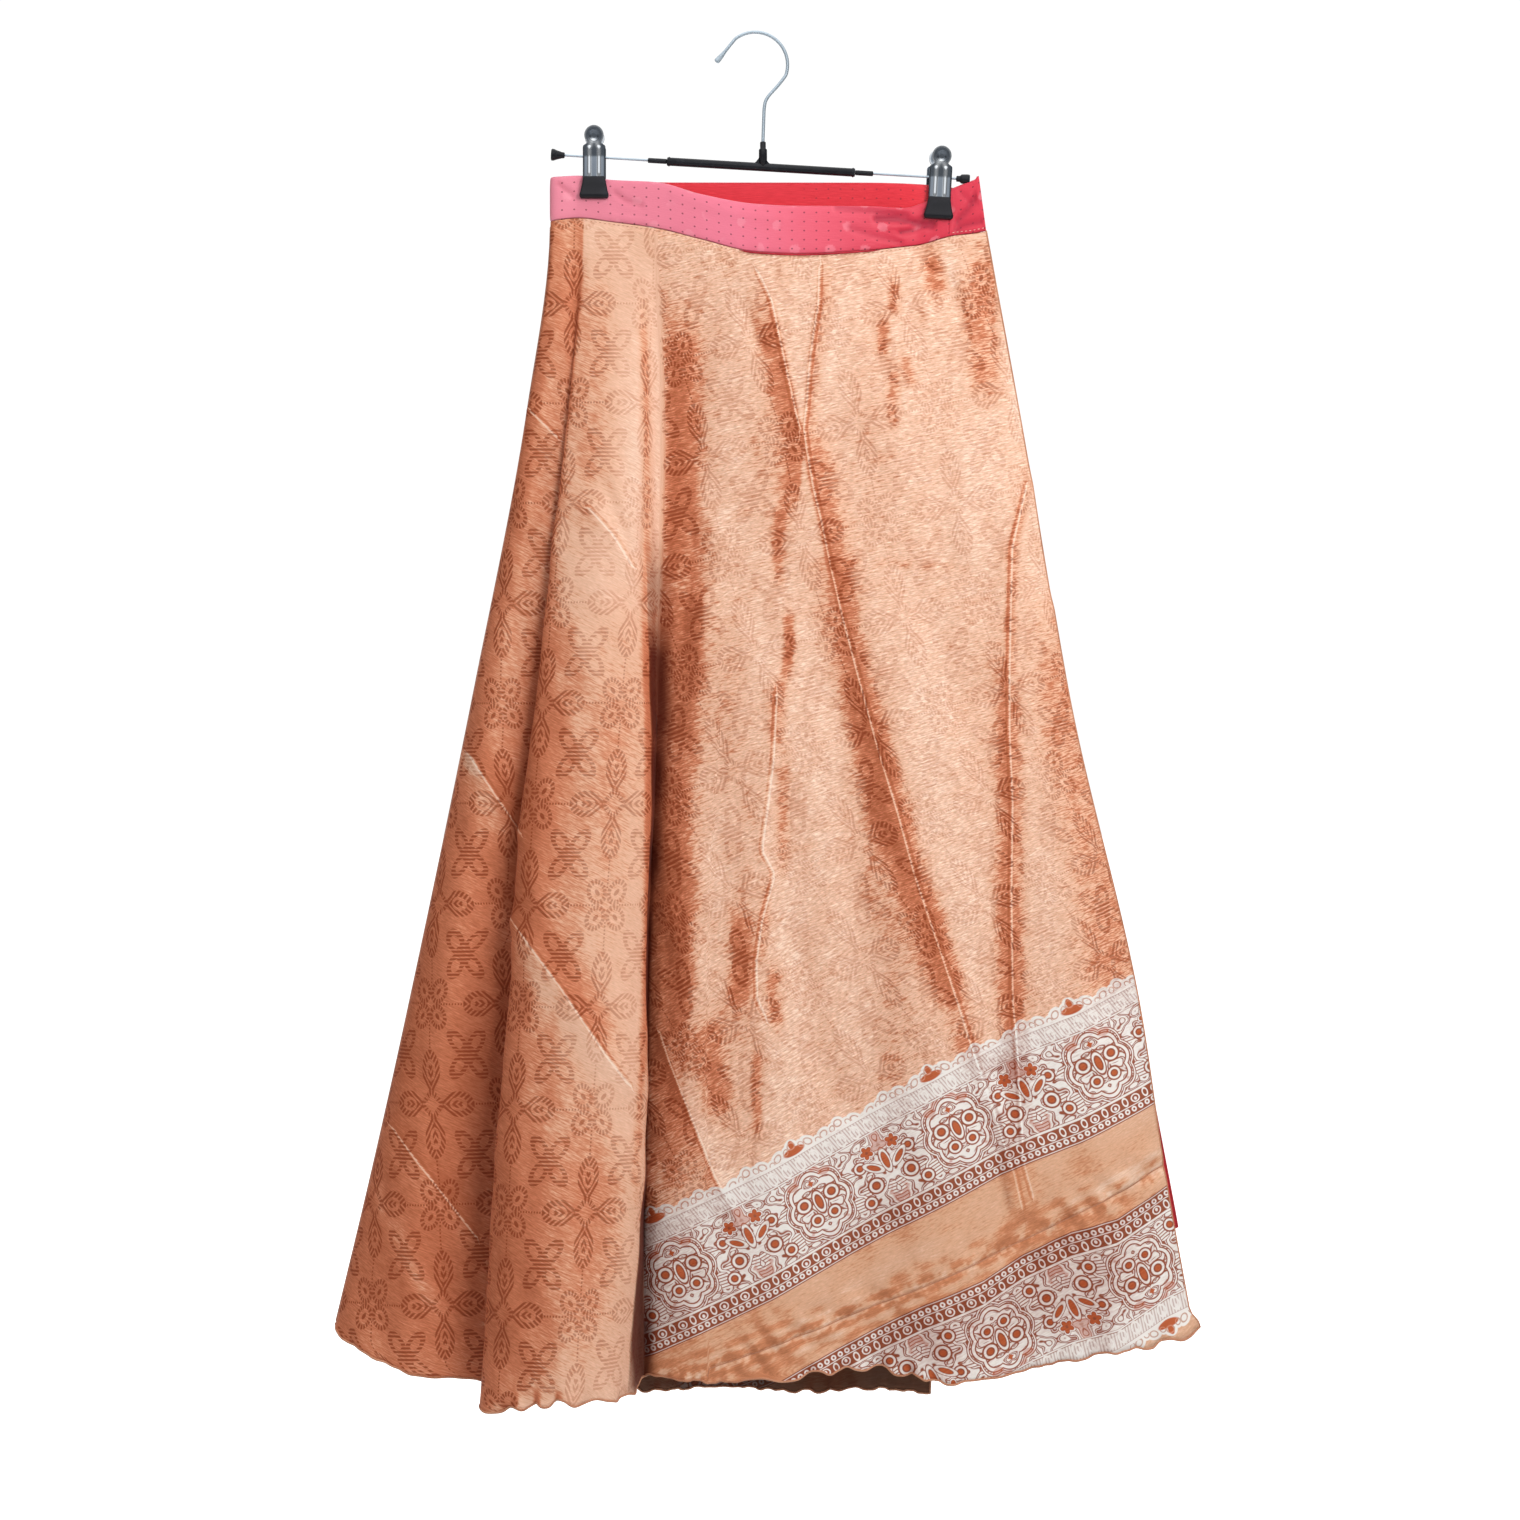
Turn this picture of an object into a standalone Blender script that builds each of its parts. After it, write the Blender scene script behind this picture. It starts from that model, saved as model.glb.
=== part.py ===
"""Two-layer wrap skirt held by its waistband on a wire clip hanger, with sizes in millimetres.

The origin is where the hook rests on its rail. X runs to the right as seen from the front, and the front
faces -Y.
"""

import math
from collections import namedtuple

import bmesh
import bpy
import numpy as np
from mathutils import Vector

MM = 0.001
GAP = 0.3

# Cloth walls, thicker than the fabric so that they are solid pieces
PANEL_WALL = 1.2
BAND_WALL = 2.7
TIE_WALL = 1.2
UNDER_TUCK = 0.8
TIE_WIDTH = 21.0
TIE_LENGTH = 600.0

# The hem's thread pulls its edge into small waves
COLUMNS_A_WAVE = 2
RUFFLE_DEPTH = 2.2
RUFFLE_LIFT = 1.6
RUFFLE_STARTS = 0.965
FINE_ROWS_START = 0.96

# Heights at which a fold is set, as shares of the way from the waistband to the hem
LEVELS = (0.0, 0.17, 0.42, 0.70, 0.85, 1.0)

# A fold line of the cloth. waist is its distance along the band from the left turn, x is how far right and
# y how far back it lies at the hip, thigh, knee, shin and hem, and hem is the height of its foot.
Fold = namedtuple("Fold", "name waist x y hem")

FRONT_FOLDS = (
    Fold("side_seam", 0, (-169, -208.5, -256.5, -284, -313.5), (3, 8, 12, 14, 15), -962),
    Fold("side_round", 3.5, (-168.6, -208, -256, -283.4, -312.9), (-1, 3, 6, 8, 9), -963),
    Fold("outer_left", 13, (-157, -190, -229, -245, -261), (-8, -11, -15, -18, -21), -989),
    Fold("behind_flute", 21, (-137, -157, -177, -182, -186), (-4, -2, 1, 3, 4), -1005),
    Fold("flute_left_edge", 26, (-138.5, -163.5, -185, -193, -201), (-9, -17, -27, -33, -39), -1013),
    Fold("flute_front", 37, (-124, -148, -166, -172, -177), (-14, -28, -45, -56, -64), -1010),
    Fold("flute_crest", 48, (-106, -121, -133, -138, -143), (-16, -32, -51, -63, -73), -1004),
    Fold("flute_right", 60, (-91, -94.5, -98, -104, -110), (-14, -26, -41, -50, -58), -1005),
    Fold("flute_right_edge", 70, (-80, -78, -79, -85, -93), (-9, -13, -19, -25, -30), -1007),
    Fold("valley", 79, (-69, -73, -82, -83, -83), (0, 3, 5, 5, 4), -999),
    Fold("valley_right", 88, (-53, -62, -71, -73, -74.5), (-4, -2, -3, -4, -5), -995.5),
    Fold("right_rise", 112, (-22, -32, -41, -41, -41), (-10, -11, -15, -16, -17), -998),
    Fold("middle", 150, (17, 11, 5, 10, 15), (-13, -16, -20, -21, -22), -995.5),
    Fold("trough", 190, (59.5, 63, 70.5, 77, 84), (-11, -12, -14, -15, -16), -988),
    Fold("right_swell", 225, (100, 115, 134, 141, 148.5), (-13, -18, -24, -27, -30), -997),
    Fold("right_dip", 255, (137.5, 160, 189.5, 201, 212), (-9, -12, -16, -17, -18), -986),
    Fold("right_roll", 279, (167, 197, 238, 252, 267.5), (-8, -12, -18, -21, -24), -975),
    Fold("edge_roll", 310, (188, 221, 271, 288, 306), (-5, -8, -12, -13, -14), -970),
    Fold("free_edge", 325, (197, 232.5, 285, 303.5, 325.5), (-1, -2, -4, -4, -4), -966),
)

BACK_FOLDS = (
    Fold("side_seam", 0, (-169, -208.5, -256.5, -284, -313.5), (3.4, 8.4, 12.4, 14.4, 15.4), -962),
    Fold("side_round", 3.5, (-168.6, -208, -256, -283.4, -312.9), (6.5, 13, 18, 20.5, 22), -963),
    Fold("back_left_crest", 34, (-140, -172, -211, -232, -255), (18, 34, 51, 58, 64), -990),
    Fold("back_left_valley", 72, (-107, -131, -165, -181, -199), (13, 25, 35, 38, 40), -1003),
    Fold("back_middle_crest", 112, (-66, -87, -115, -129, -144), (17, 33, 51, 60, 67), -1011),
    Fold("back_middle_valley", 154, (-26, -42, -65, -74, -84), (13, 24, 34, 37, 39), -1014),
    Fold("back_right_crest", 198, (22, 10, -9, -17, -25), (16, 32, 49, 58, 65), -1016),
    Fold("back_right_valley", 238, (68, 61, 48, 41, 35), (13, 24, 33, 36, 38), -1015),
    Fold("back_edge_crest", 272, (112, 107, 98, 92, 86), (14, 28, 43, 51, 56), -1016),
    Fold("back_free_edge", 300.5, (149, 146, 140, 136, 132), (11, 21, 30, 34, 37), -1016),
)

UNDER_FRONT_FOLDS = (
    Fold("side_seam", 0, (-163, -198, -244, -266, -288), (3, 8, 12, 14, 15), -896),
    Fold("side_round", 3, (-162.8, -197.7, -243.6, -265.6, -287.6), (0, 4.5, 8.5, 10.5, 11.5), -897),
    Fold("left_wave", 34, (-130, -153, -187, -205, -222), (2, 6, 10, 12, 14), -914),
    Fold("left_hollow", 72, (-92, -105, -128, -140, -150), (2.5, 5.5, 8.5, 9.5, 10), -922),
    Fold("middle_wave", 120, (-40, -45, -54, -58, -61), (1, 6, 10, 12, 14), -928),
    Fold("middle_hollow", 165, (13, 17, 24, 28, 33), (-1, 3, 6, 8, 9), -926),
    Fold("right_wave", 212, (68, 84, 105, 117, 129), (-1, 2, 6, 9, 11), -921),
    Fold("right_hollow", 262, (125, 154, 190, 209, 229), (-1, 1, 2, 3, 4), -908),
    Fold("edge_wave", 300, (169, 205, 249, 269, 291), (0, 2, 3, 3, 3), -893),
    Fold("free_edge", 322, (189, 220.5, 270, 293, 314.3), (3, 4, 4, 3, 3), -886),
)

UNDER_BACK_FOLDS = (
    Fold("side_seam", 0, (-163, -198, -244, -266, -288), (4.0, 9.0, 13.0, 15.0, 16.0), -896),
    Fold("side_round", 3, (-162.8, -197.7, -243.6, -265.6, -287.6), (6.5, 12, 16.5, 18.5, 20), -897),
    Fold("left_wave", 60, (-116, -138, -171, -188, -206), (9.5, 19, 28, 32, 34.5), -916),
    Fold("left_hollow", 120, (-56, -73, -97, -109, -121), (9.5, 18, 25, 28, 30), -926),
    Fold("middle_wave", 180, (4, -8, -26, -35, -45), (10, 19.5, 28, 31.5, 34), -930),
    Fold("right_hollow", 245, (73, 65, 50, 42, 34), (9.5, 18, 25, 28, 30), -930),
    Fold("right_free_edge", 298, (142, 138, 128, 121, 114), (7, 15, 23, 27, 30), -929),
)

# A cross-section of the waistband's front half: x, y, top edge and bottom edge. It sags between the clips.
BandStop = namedtuple("BandStop", "name x y top bottom")

BAND_FRONT = (
    BandStop("turn", -150.8, -0.65, -107.0, -139.7),
    BandStop("turn_out", -150.7, -1.8, -106.8, -139.7),
    BandStop("turn_end", -147.0, -3.4, -106.6, -138.9),
    BandStop("left_clip_in", -130.8, -1.5, -105.5, -137.1),
    BandStop("left_clip_out", -108.5, -1.5, -108.5, -139.7),
    BandStop("drop_start", -73.6, -4.0, -110.7, -144.9),
    BandStop("drop", -39.4, -7.6, -120.4, -153.8),
    BandStop("low_left", 0.7, -10.0, -127.8, -163.5),
    BandStop("low_middle", 33.4, -10.0, -129.3, -164.9),
    BandStop("low_right", 84.0, -8.0, -129.3, -162.0),
    BandStop("rise", 109.2, -4.5, -130.0, -159.0),
    BandStop("right_clip_in", 123.3, -1.5, -126.3, -156.8),
    BandStop("right_clip_out", 147.9, -1.5, -114.3, -150.1),
    BandStop("past_end_cap", 160.4, -2.0, -113.8, -148.9),
    BandStop("peak", 166.4, -2.2, -106.3, -147.9),
    BandStop("end", 171.5, -2.2, -110.0, -146.4),
)

BAND_BACK = (
    BandStop("turn", -150.8, 0.65, -107.0, -139.7),
    BandStop("turn_out", -150.7, 1.8, -106.8, -139.7),
    BandStop("turn_end", -147.0, 3.4, -106.6, -138.9),
    BandStop("left_clip_in", -130.8, 1.5, -105.5, -137.1),
    BandStop("left_clip_out", -108.5, 1.5, -108.5, -140.5),
    BandStop("taut_left", -60.0, 5.2, -109.5, -143.5),
    BandStop("taut_right", 80.0, 5.2, -109.6, -144.0),
    BandStop("right_clip_in", 123.3, 1.5, -111.5, -146.0),
    BandStop("end", 150.0, 1.5, -114.4, -147.4),
)
BAND_SEAM_X = 144.1

# A tie's middle line: where it lies across, its top, and how far back it hangs at the marked heights
Tie = namedtuple("Tie", "name x top y")
TIE_MARKS = (-760.0, -490.0, -285.0, -150.0, -105.0)
TIES = (
    Tie("tie_front", 163.2, -114.0, (34.0, 22.0, 9.0, 0.7, 0.4)),
    Tie("tie_back", 103.0, -113.0, (52.0, 34.0, 18.5, 7.6, 6.4)),
)

# The puckered seam that joins the border piece: it leaves the hem and climbs to the free edge
SEAM_START = (-48.0, -993.0)
SEAM_END = (299.5, -842.0)
SEAM_SAG = 9.0
WEDGE_START_HEIGHT = 8.0

# Columns of the walls, across each panel. Next to the side seam they are closer by this factor.
TURN_SPACING = 0.25
TURN_STRETCH = 0.035
FRONT_COLUMNS = 60
BACK_COLUMNS = 40
UNDER_FRONT_COLUMNS = 28
UNDER_BACK_COLUMNS = 24

# Hook: its wire runs up the stem, round the crown's arc between two angles, and down to the tip
HOOK_WIRE = 2.5
HOOK_RADIUS = 24.2
HOOK_CENTRE_Z = -(HOOK_RADIUS - HOOK_WIRE / 2)
HOOK_STEM = ((5.9, -80.0), (6.4, -65.0), (6.8, -53.5), (8.6, -47.5), (17.1, -38.5))
HOOK_ARC = (-20.0, 128.0)
HOOK_ARC_POINTS = 22
HOOK_TIP = ((-25.2, -16.8), (-28.2, -20.1))

# The bar's line falls to the right, because the band's two ends pull on it unevenly
BAR_LEFT = (-146.4, -90.0)
BAR_RIGHT = (154.5, -107.9)
BAR_WIRE = 1.8
SLEEVE_RADIUS = 3.1
THIN_SLEEVE_RADIUS = 1.9
SLEEVE_LEFT_X = -65.4
SLEEVE_RIGHT_X = 74.3
THIN_SLEEVE_LEFT_X = -79.5
THIN_SLEEVE_RIGHT_X = 87.7
POST_RADIUS = 3.1
POST_NECK_RADIUS = 2.2
POST_NECK_LENGTH = 4.5
WEB_RISES = (12.0, 8.5)
WEB_THICK = 2.2
WEB_ROOT = 2.0
END_CAP_RADIUS = 4.4
END_CAP_NECK_RADIUS = 2.2
END_CAP_LENGTH = 10.0
END_CAP_FLARE = 4.2

# Clips: x where they ride on the bar, and how far each leans
Clip = namedtuple("Clip", "name x lean")
CLIPS = (Clip("left", -119.3, 0.0), Clip("right", 137.6, math.radians(2.5)))
CLIP_WIDTH = 16.4
CLIP_PLATE = 0.9
CLIP_HEAD_ABOVE_BAR = 22.4
CLIP_FOOT_BELOW_BAR = 15.6
CLIP_HEAD_RADIUS = 7.2
CLIP_HEAD_TOP_HALF = 0.8
CLIP_NECK_DOWN = 12.4
# Rows of a plate down its round head, and how many follow down its straight body
CLIP_HEAD_ROWS = (0.0, 0.9, 3.0, 7.2, 10.6, 12.4, 13.4)
CLIP_BODY_TOP = 8.0
CLIP_BODY_ROWS = 6
# Columns of a plate as shares of its half width: the front one has two raised ribs
RIBBED_COLUMNS = (-1, -0.72, -0.56, -0.3, -0.14, 0.14, 0.3, 0.56, 0.72, 1)
PLAIN_COLUMNS = (-1, -0.4, 0.4, 1)
RIB_SHARES = (0.28, 0.6)
RIB_TOP = 7.0
RIB_HEIGHT = 0.7
BARREL_RADIUS = 3.4
BARREL_LENGTH = 13.8
# How much further than the barrel's side a plate stands from the bar, at its waist, shoulder and head
PLATE_SPREAD = (0.3, 1.2, 5.0)
PLATE_BEND_HEIGHTS = (-6.0, 0.0, 8.0)
TIP_LENGTH = 15.4
TIP_TOP_WIDTH = 16.5
TIP_FOOT_WIDTH = 22.0
TIP_FOOT_RISE = 3.0
TIP_FOOT_INSET = 1.2
TIP_THICK = 3.6
TIP_FACE_SHARE = 0.94
TIP_ROUNDING = 0.8

COLOURS = {
    "satin": (0.80, 0.47, 0.30),
    "satin_back": (0.66, 0.36, 0.22),
    "border": (0.66, 0.45, 0.38),
    "red_cloth": (0.62, 0.05, 0.07),
    "band_pink": (0.86, 0.28, 0.36),
    "band_red": (0.78, 0.07, 0.11),
    "steel": (0.72, 0.74, 0.76),
    "chrome": (0.75, 0.75, 0.76),
    "black_plastic": (0.02, 0.02, 0.022),
    "black_rubber": (0.012, 0.012, 0.013),
}


def clear_scene():
    for old in list(bpy.data.objects):
        bpy.data.objects.remove(old, do_unlink=True)


def collection_named(name):
    group = bpy.data.collections.new(name)
    bpy.context.scene.collection.children.link(group)
    return group


def material_named(name, roughness, metallic):
    found = bpy.data.materials.get(name)
    if found:
        return found
    made = bpy.data.materials.new(name)
    made.use_nodes = True
    shader = made.node_tree.nodes["Principled BSDF"]
    shader.inputs["Base Color"].default_value = (*COLOURS[name], 1.0)
    shader.inputs["Roughness"].default_value = roughness
    shader.inputs["Metallic"].default_value = metallic
    return made


def curve_through(knots, rows, at, start=1.0):
    """Values on a smooth curve through one row for each knot, level where a row is a crest or a hollow.

    `start` scales the slope at the first knot, for each value in a row.
    """
    knots = np.asarray(knots, float)
    rows = np.asarray(rows, float)
    spans = np.diff(knots) if rows.ndim == 1 else np.diff(knots)[:, None]
    steps = np.diff(rows, axis=0) / spans
    before, after = steps[:-1], steps[1:]
    rising = before * after > 0
    both = np.where(rising, before + after, 1.0)
    slopes = np.concatenate((steps[:1], np.where(rising, 2 * before * after / both, 0.0), steps[-1:]))
    slopes[0] = slopes[0] * start
    at = np.clip(np.asarray(at, float), knots[0], knots[-1])
    cell = np.clip(np.searchsorted(knots, at, side="right") - 1, 0, len(knots) - 2)
    width = knots[cell + 1] - knots[cell]
    t = (at - knots[cell]) / width
    if rows.ndim > 1:
        t = t[:, None]
        width = width[:, None]
    rise = t * t * (3 - 2 * t)
    return (
        rows[cell] * (1 - rise)
        + rows[cell + 1] * rise
        + slopes[cell] * width * t * (1 - t) ** 2
        - slopes[cell + 1] * width * t * t * (1 - t)
    )


def crowded_at_start(share):
    """Shares from 0 to 1 set closer together near 0, where the cloth turns round the side."""
    pull = (1 - TURN_SPACING) * TURN_STRETCH
    return (share - pull * (1 - np.exp(-share / TURN_STRETCH))) / (1 - pull)


class BandLine:
    """The waistband's middle surface, measured along its length from the left turn."""

    def __init__(self, stops):
        self.rows = np.array([(s.x, s.y, s.top, s.bottom) for s in stops])
        steps = np.hypot(np.diff(self.rows[:, 0]), np.diff(self.rows[:, 1]))
        self.knots = np.concatenate(([0.0], np.cumsum(steps)))
        self.length = self.knots[-1]

    def at(self, along):
        return curve_through(self.knots, self.rows, along)

    def outward(self, along, side):
        """Unit normals in plan, away from the skirt's hollow."""
        step = 0.5
        middle = np.clip(along, step, self.length - step)
        ahead = self.at(middle + step)[:, :2]
        behind = self.at(middle - step)[:, :2]
        run = ahead - behind
        run /= np.linalg.norm(run, axis=1)[:, None]
        return np.stack([run[:, 1], -run[:, 0]], axis=1) * side


class Panel:
    """A flared piece of cloth hung from the band, in columns along the hem and rows down from the waist."""

    def __init__(self, folds, band, side, outward, columns):
        self.band = band
        self.side = side
        self.outward = outward
        self.columns = columns
        self.tuck = GAP if outward > 0 else UNDER_TUCK
        self.waist = np.array([fold.waist for fold in folds], float)
        self.lines = np.zeros((len(LEVELS), len(folds), 2))
        self.lines[0] = self.edge_at(self.waist)[:, :2]
        for level in range(1, len(LEVELS)):
            self.lines[level, :, 0] = [fold.x[level - 1] for fold in folds]
            self.lines[level, :, 1] = [fold.y[level - 1] for fold in folds]
        self.hem_z = np.array([fold.hem for fold in folds], float)
        steps = np.hypot(*np.diff(self.lines[1:].mean(axis=0), axis=0).T)
        self.knots = np.concatenate(([0.0], np.cumsum(steps))) / steps.sum()

    def edge_at(self, along):
        """x, y and z just under the band's lower edge, set in or out to this layer's side of the seam."""
        found = self.band.at(along)
        found[:, :2] += self.band.outward(along, self.side) * self.outward
        return np.column_stack((found[:, :2], found[:, 3] - self.tuck))

    def points(self, column, down):
        """Positions for each pair of `column` and `down` shares, both flat arrays."""
        across = crowded_at_start(column)
        level_rows = self.lines.reshape(len(LEVELS), -1)
        flare = np.repeat(self.knots, 2)
        lines = curve_through(LEVELS, level_rows, down, start=flare).reshape(len(down), -1, 2)
        plan = np.array([curve_through(self.knots, line, [u])[0] for line, u in zip(lines, across)])
        edge = self.edge_at(curve_through(self.knots, self.waist, across))
        hung = curve_through(self.knots, self.lines[0], across)
        held = np.clip(1 - down / LEVELS[1], 0, 1) ** 2
        plan += (edge[:, :2] - hung) * held[:, None]
        near_hem = np.clip((down - RUFFLE_STARTS) / (1 - RUFFLE_STARTS), 0, 1) ** 2
        wave = 2 * math.pi * self.columns / COLUMNS_A_WAVE * column
        plan[:, 1] += RUFFLE_DEPTH * np.sin(wave) * near_hem
        foot = curve_through(self.knots, self.hem_z, across)
        height = edge[:, 2] + (foot - edge[:, 2]) * down + RUFFLE_LIFT * np.cos(wave + 0.8) * near_hem
        return np.column_stack((plan, height))

    def hem_length(self):
        return np.hypot(*np.diff(self.lines[-1], axis=0).T).sum()

    def drop(self, column):
        """The cloth's height from the band to the hem."""
        across = crowded_at_start(column)
        top = self.edge_at(curve_through(self.knots, self.waist, across))[:, 2]
        return top - curve_through(self.knots, self.hem_z, across)


def loft(name, rows, wall, material, group):
    """A closed wall through rows of points.

    A row may hold one point more between each two of the row above.
    """
    mesh = bmesh.new()
    made = [[mesh.verts.new(Vector(point) * MM) for point in row] for row in rows]
    for upper, lower in zip(made, made[1:]):
        if len(lower) == len(upper):
            for i in range(len(upper) - 1):
                mesh.faces.new((upper[i], lower[i], lower[i + 1], upper[i + 1]))
            continue
        for i in range(len(upper) - 1):
            a, b = upper[i], upper[i + 1]
            left, centre, right = lower[2 * i : 2 * i + 3]
            mesh.faces.new((a, left, centre))
            mesh.faces.new((a, centre, b))
            mesh.faces.new((b, centre, right))
    data = bpy.data.meshes.new(name)
    mesh.to_mesh(data)
    mesh.free()
    data.shade_smooth()
    piece = bpy.data.objects.new(name, data)
    group.objects.link(piece)
    piece.data.materials.append(material)
    solid = piece.modifiers.new("wall", "SOLIDIFY")
    solid.thickness = wall * MM
    solid.offset = 0.0
    return piece


def panel_rows(panel, count, foot=None):
    """Rows of points from the waist to the foot: wide columns above, and half as wide in the last rows."""
    rows = []
    for down in (*np.linspace(0.0, FINE_ROWS_START, count), 0.98, 1.0):
        finer = 2 if down > FINE_ROWS_START else 1
        column = np.linspace(0.0, 1.0, finer * panel.columns + 1)
        share = np.full(len(column), down) if foot is None else down * foot(column)
        rows.append(panel.points(column, share))
    return rows


def seam_height(x):
    """The seam's height above a place on the hem line, with the slight sag of a bias seam."""
    share = (x - SEAM_START[0]) / (SEAM_END[0] - SEAM_START[0])
    straight = SEAM_START[1] + (SEAM_END[1] - SEAM_START[1]) * share
    return straight - SEAM_SAG * 4 * share * (1 - share)


def seam_share(panel, column):
    """How far down the panel the seam lies in each column, 1 where it has run out through the hem."""
    share = np.full(len(column), 0.95)
    top = panel.points(column, np.zeros(len(column)))[:, 2]
    for _ in range(6):
        x = panel.points(column, share)[:, 0]
        share = np.clip((top - seam_height(x)) / panel.drop(column), 0.5, 1.0)
    return share


def build_front(group, panel):
    """The front's main piece down to the seam, and the border piece below it, column for column."""
    column = np.linspace(0.0, 1.0, 2 * panel.columns + 1)
    share = seam_share(panel, column)
    drop = panel.drop(column)
    tall_enough = (1 - share) * drop > WEDGE_START_HEIGHT
    start = int(np.argmax(tall_enough & (column > 0.5)))
    reach = np.where(np.arange(len(column)) >= start, share - GAP / 2 / drop, 1.0)
    rows = panel_rows(panel, 13, lambda at: np.interp(at, column, reach))
    loft("front_panel", rows, PANEL_WALL, material_named("satin", 0.38, 0.0), group)
    under = column[start:].copy()
    under[0] += GAP / panel.hem_length()
    top = np.interp(under, column, share + GAP / 2 / drop)
    rows = [panel.points(under, top + (1 - top) * part) for part in np.linspace(0, 1, 4)]
    loft("border_piece", rows, PANEL_WALL, material_named("border", 0.45, 0.0), group)


def band_rows(line, first, last, count):
    share = np.linspace(0.0, 1.0, count)
    found = line.at(first + (last - first) * (crowded_at_start(share) if first == 0.0 else share))
    return [
        [(x, y, top + (bottom - top) * share) for x, y, top, bottom in found]
        for share in (0.0, 0.5, 1.0)
    ]


def build_bands(group, front, back):
    """The band's two halves, and the roots of its ties beyond the seam at the right clip."""
    seam = np.interp(BAND_SEAM_X, front.rows[:, 0], front.knots)
    pink = material_named("band_pink", 0.5, 0.0)
    red = material_named("band_red", 0.5, 0.0)
    loft("band_front", band_rows(front, 0.0, seam - GAP / 2, 58), BAND_WALL, pink, group)
    loft("band_back", band_rows(back, 0.0, back.length, 40), BAND_WALL, red, group)
    loft("tie_front_root", band_rows(front, seam + GAP / 2, front.length, 12), BAND_WALL, red, group)


def build_ties(group):
    """Flat ties, each sewn to the back of the band near one end, hanging down behind the skirt."""
    red = material_named("band_red", 0.5, 0.0)
    for tie in TIES:
        rows = []
        for share in np.linspace(0.0, 1.0, 10):
            z = tie.top - TIE_LENGTH * share
            away = float(curve_through(TIE_MARKS, tie.y, [z])[0])
            rows.append([(tie.x + TIE_WIDTH * side, away, z) for side in (-0.5, 0.0, 0.5)])
        loft(tie.name, rows, TIE_WALL, red, group)


def wire(name, points, radius, material, group, sides=2):
    """A round wire on a polyline through the points, closed at its ends."""
    curve = bpy.data.curves.new(name, "CURVE")
    curve.dimensions = "3D"
    curve.bevel_depth = radius * MM
    curve.bevel_resolution = sides
    curve.use_fill_caps = True
    line = curve.splines.new("POLY")
    line.points.add(len(points) - 1)
    for knot, point in zip(line.points, points):
        knot.co = (*(Vector(point) * MM), 1.0)
    line.use_smooth = True
    piece = bpy.data.objects.new(name, curve)
    group.objects.link(piece)
    curve.materials.append(material)
    return piece


def hook_route():
    """From the stem's foot up its straight run, round the crown and down to the free tip."""
    places = list(HOOK_STEM)
    for turn in np.radians(np.linspace(*HOOK_ARC, HOOK_ARC_POINTS)):
        places.append((HOOK_RADIUS * math.cos(turn), HOOK_CENTRE_Z + HOOK_RADIUS * math.sin(turn)))
    places += HOOK_TIP
    return [(x, 0.0, z) for x, z in places]


def bar_point(x):
    share = (x - BAR_LEFT[0]) / (BAR_RIGHT[0] - BAR_LEFT[0])
    return (x, 0.0, BAR_LEFT[1] + (BAR_RIGHT[1] - BAR_LEFT[1]) * share)


def turned(name, profile, place, tilt, material, group, steps=16):
    """A turned piece: the profile's radii and heights run down its outer side."""
    data = bpy.data.meshes.new(name)
    points = [(radius * MM, 0.0, height * MM) for radius, height in profile]
    data.from_pydata(points, [(i, i + 1) for i in range(len(points) - 1)], [])
    piece = bpy.data.objects.new(name, data)
    group.objects.link(piece)
    data.materials.append(material)
    spin = piece.modifiers.new("turn", "SCREW")
    spin.steps = steps
    spin.render_steps = steps
    spin.use_merge_vertices = True
    spin.merge_threshold = 0.00005
    spin.use_smooth_shade = True
    piece.location = Vector(place) * MM
    piece.rotation_euler = (0.0, tilt, 0.0)
    return piece


def bar_tilt():
    """Turns a piece's own +Z to point left along the bar."""
    fall = math.atan2(BAR_LEFT[1] - BAR_RIGHT[1], BAR_RIGHT[0] - BAR_LEFT[0])
    return math.radians(-90.0) + fall


def rod(name, first_x, last_x, radius, material, group, steps=16):
    """A rod along the bar's line between two places."""
    half = math.dist(bar_point(first_x), bar_point(last_x)) / 2
    edge = radius * 0.12
    profile = [(0, half), (radius - edge, half), (radius, half - edge)]
    profile += [(radius, edge - half), (radius - edge, -half), (0, -half)]
    middle = bar_point((first_x + last_x) / 2)
    return turned(name, profile, middle, bar_tilt(), material, group, steps)


def prism(name, near_outline, far_outline, near_depth, far_depth):
    """A closed block between two outlines in planes that face the front."""
    block = bmesh.new()
    near = [block.verts.new(Vector((x, near_depth, z)) * MM) for x, z in near_outline]
    far = [block.verts.new(Vector((x, far_depth, z)) * MM) for x, z in far_outline]
    block.faces.new(near)
    block.faces.new(far)
    for i in range(len(near)):
        j = (i + 1) % len(near)
        block.faces.new((near[i], near[j], far[j], far[i]))
    bmesh.ops.recalc_face_normals(block, faces=block.faces)
    data = bpy.data.meshes.new(name)
    block.to_mesh(data)
    block.free()
    return bpy.data.objects.new(name, data)


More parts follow.
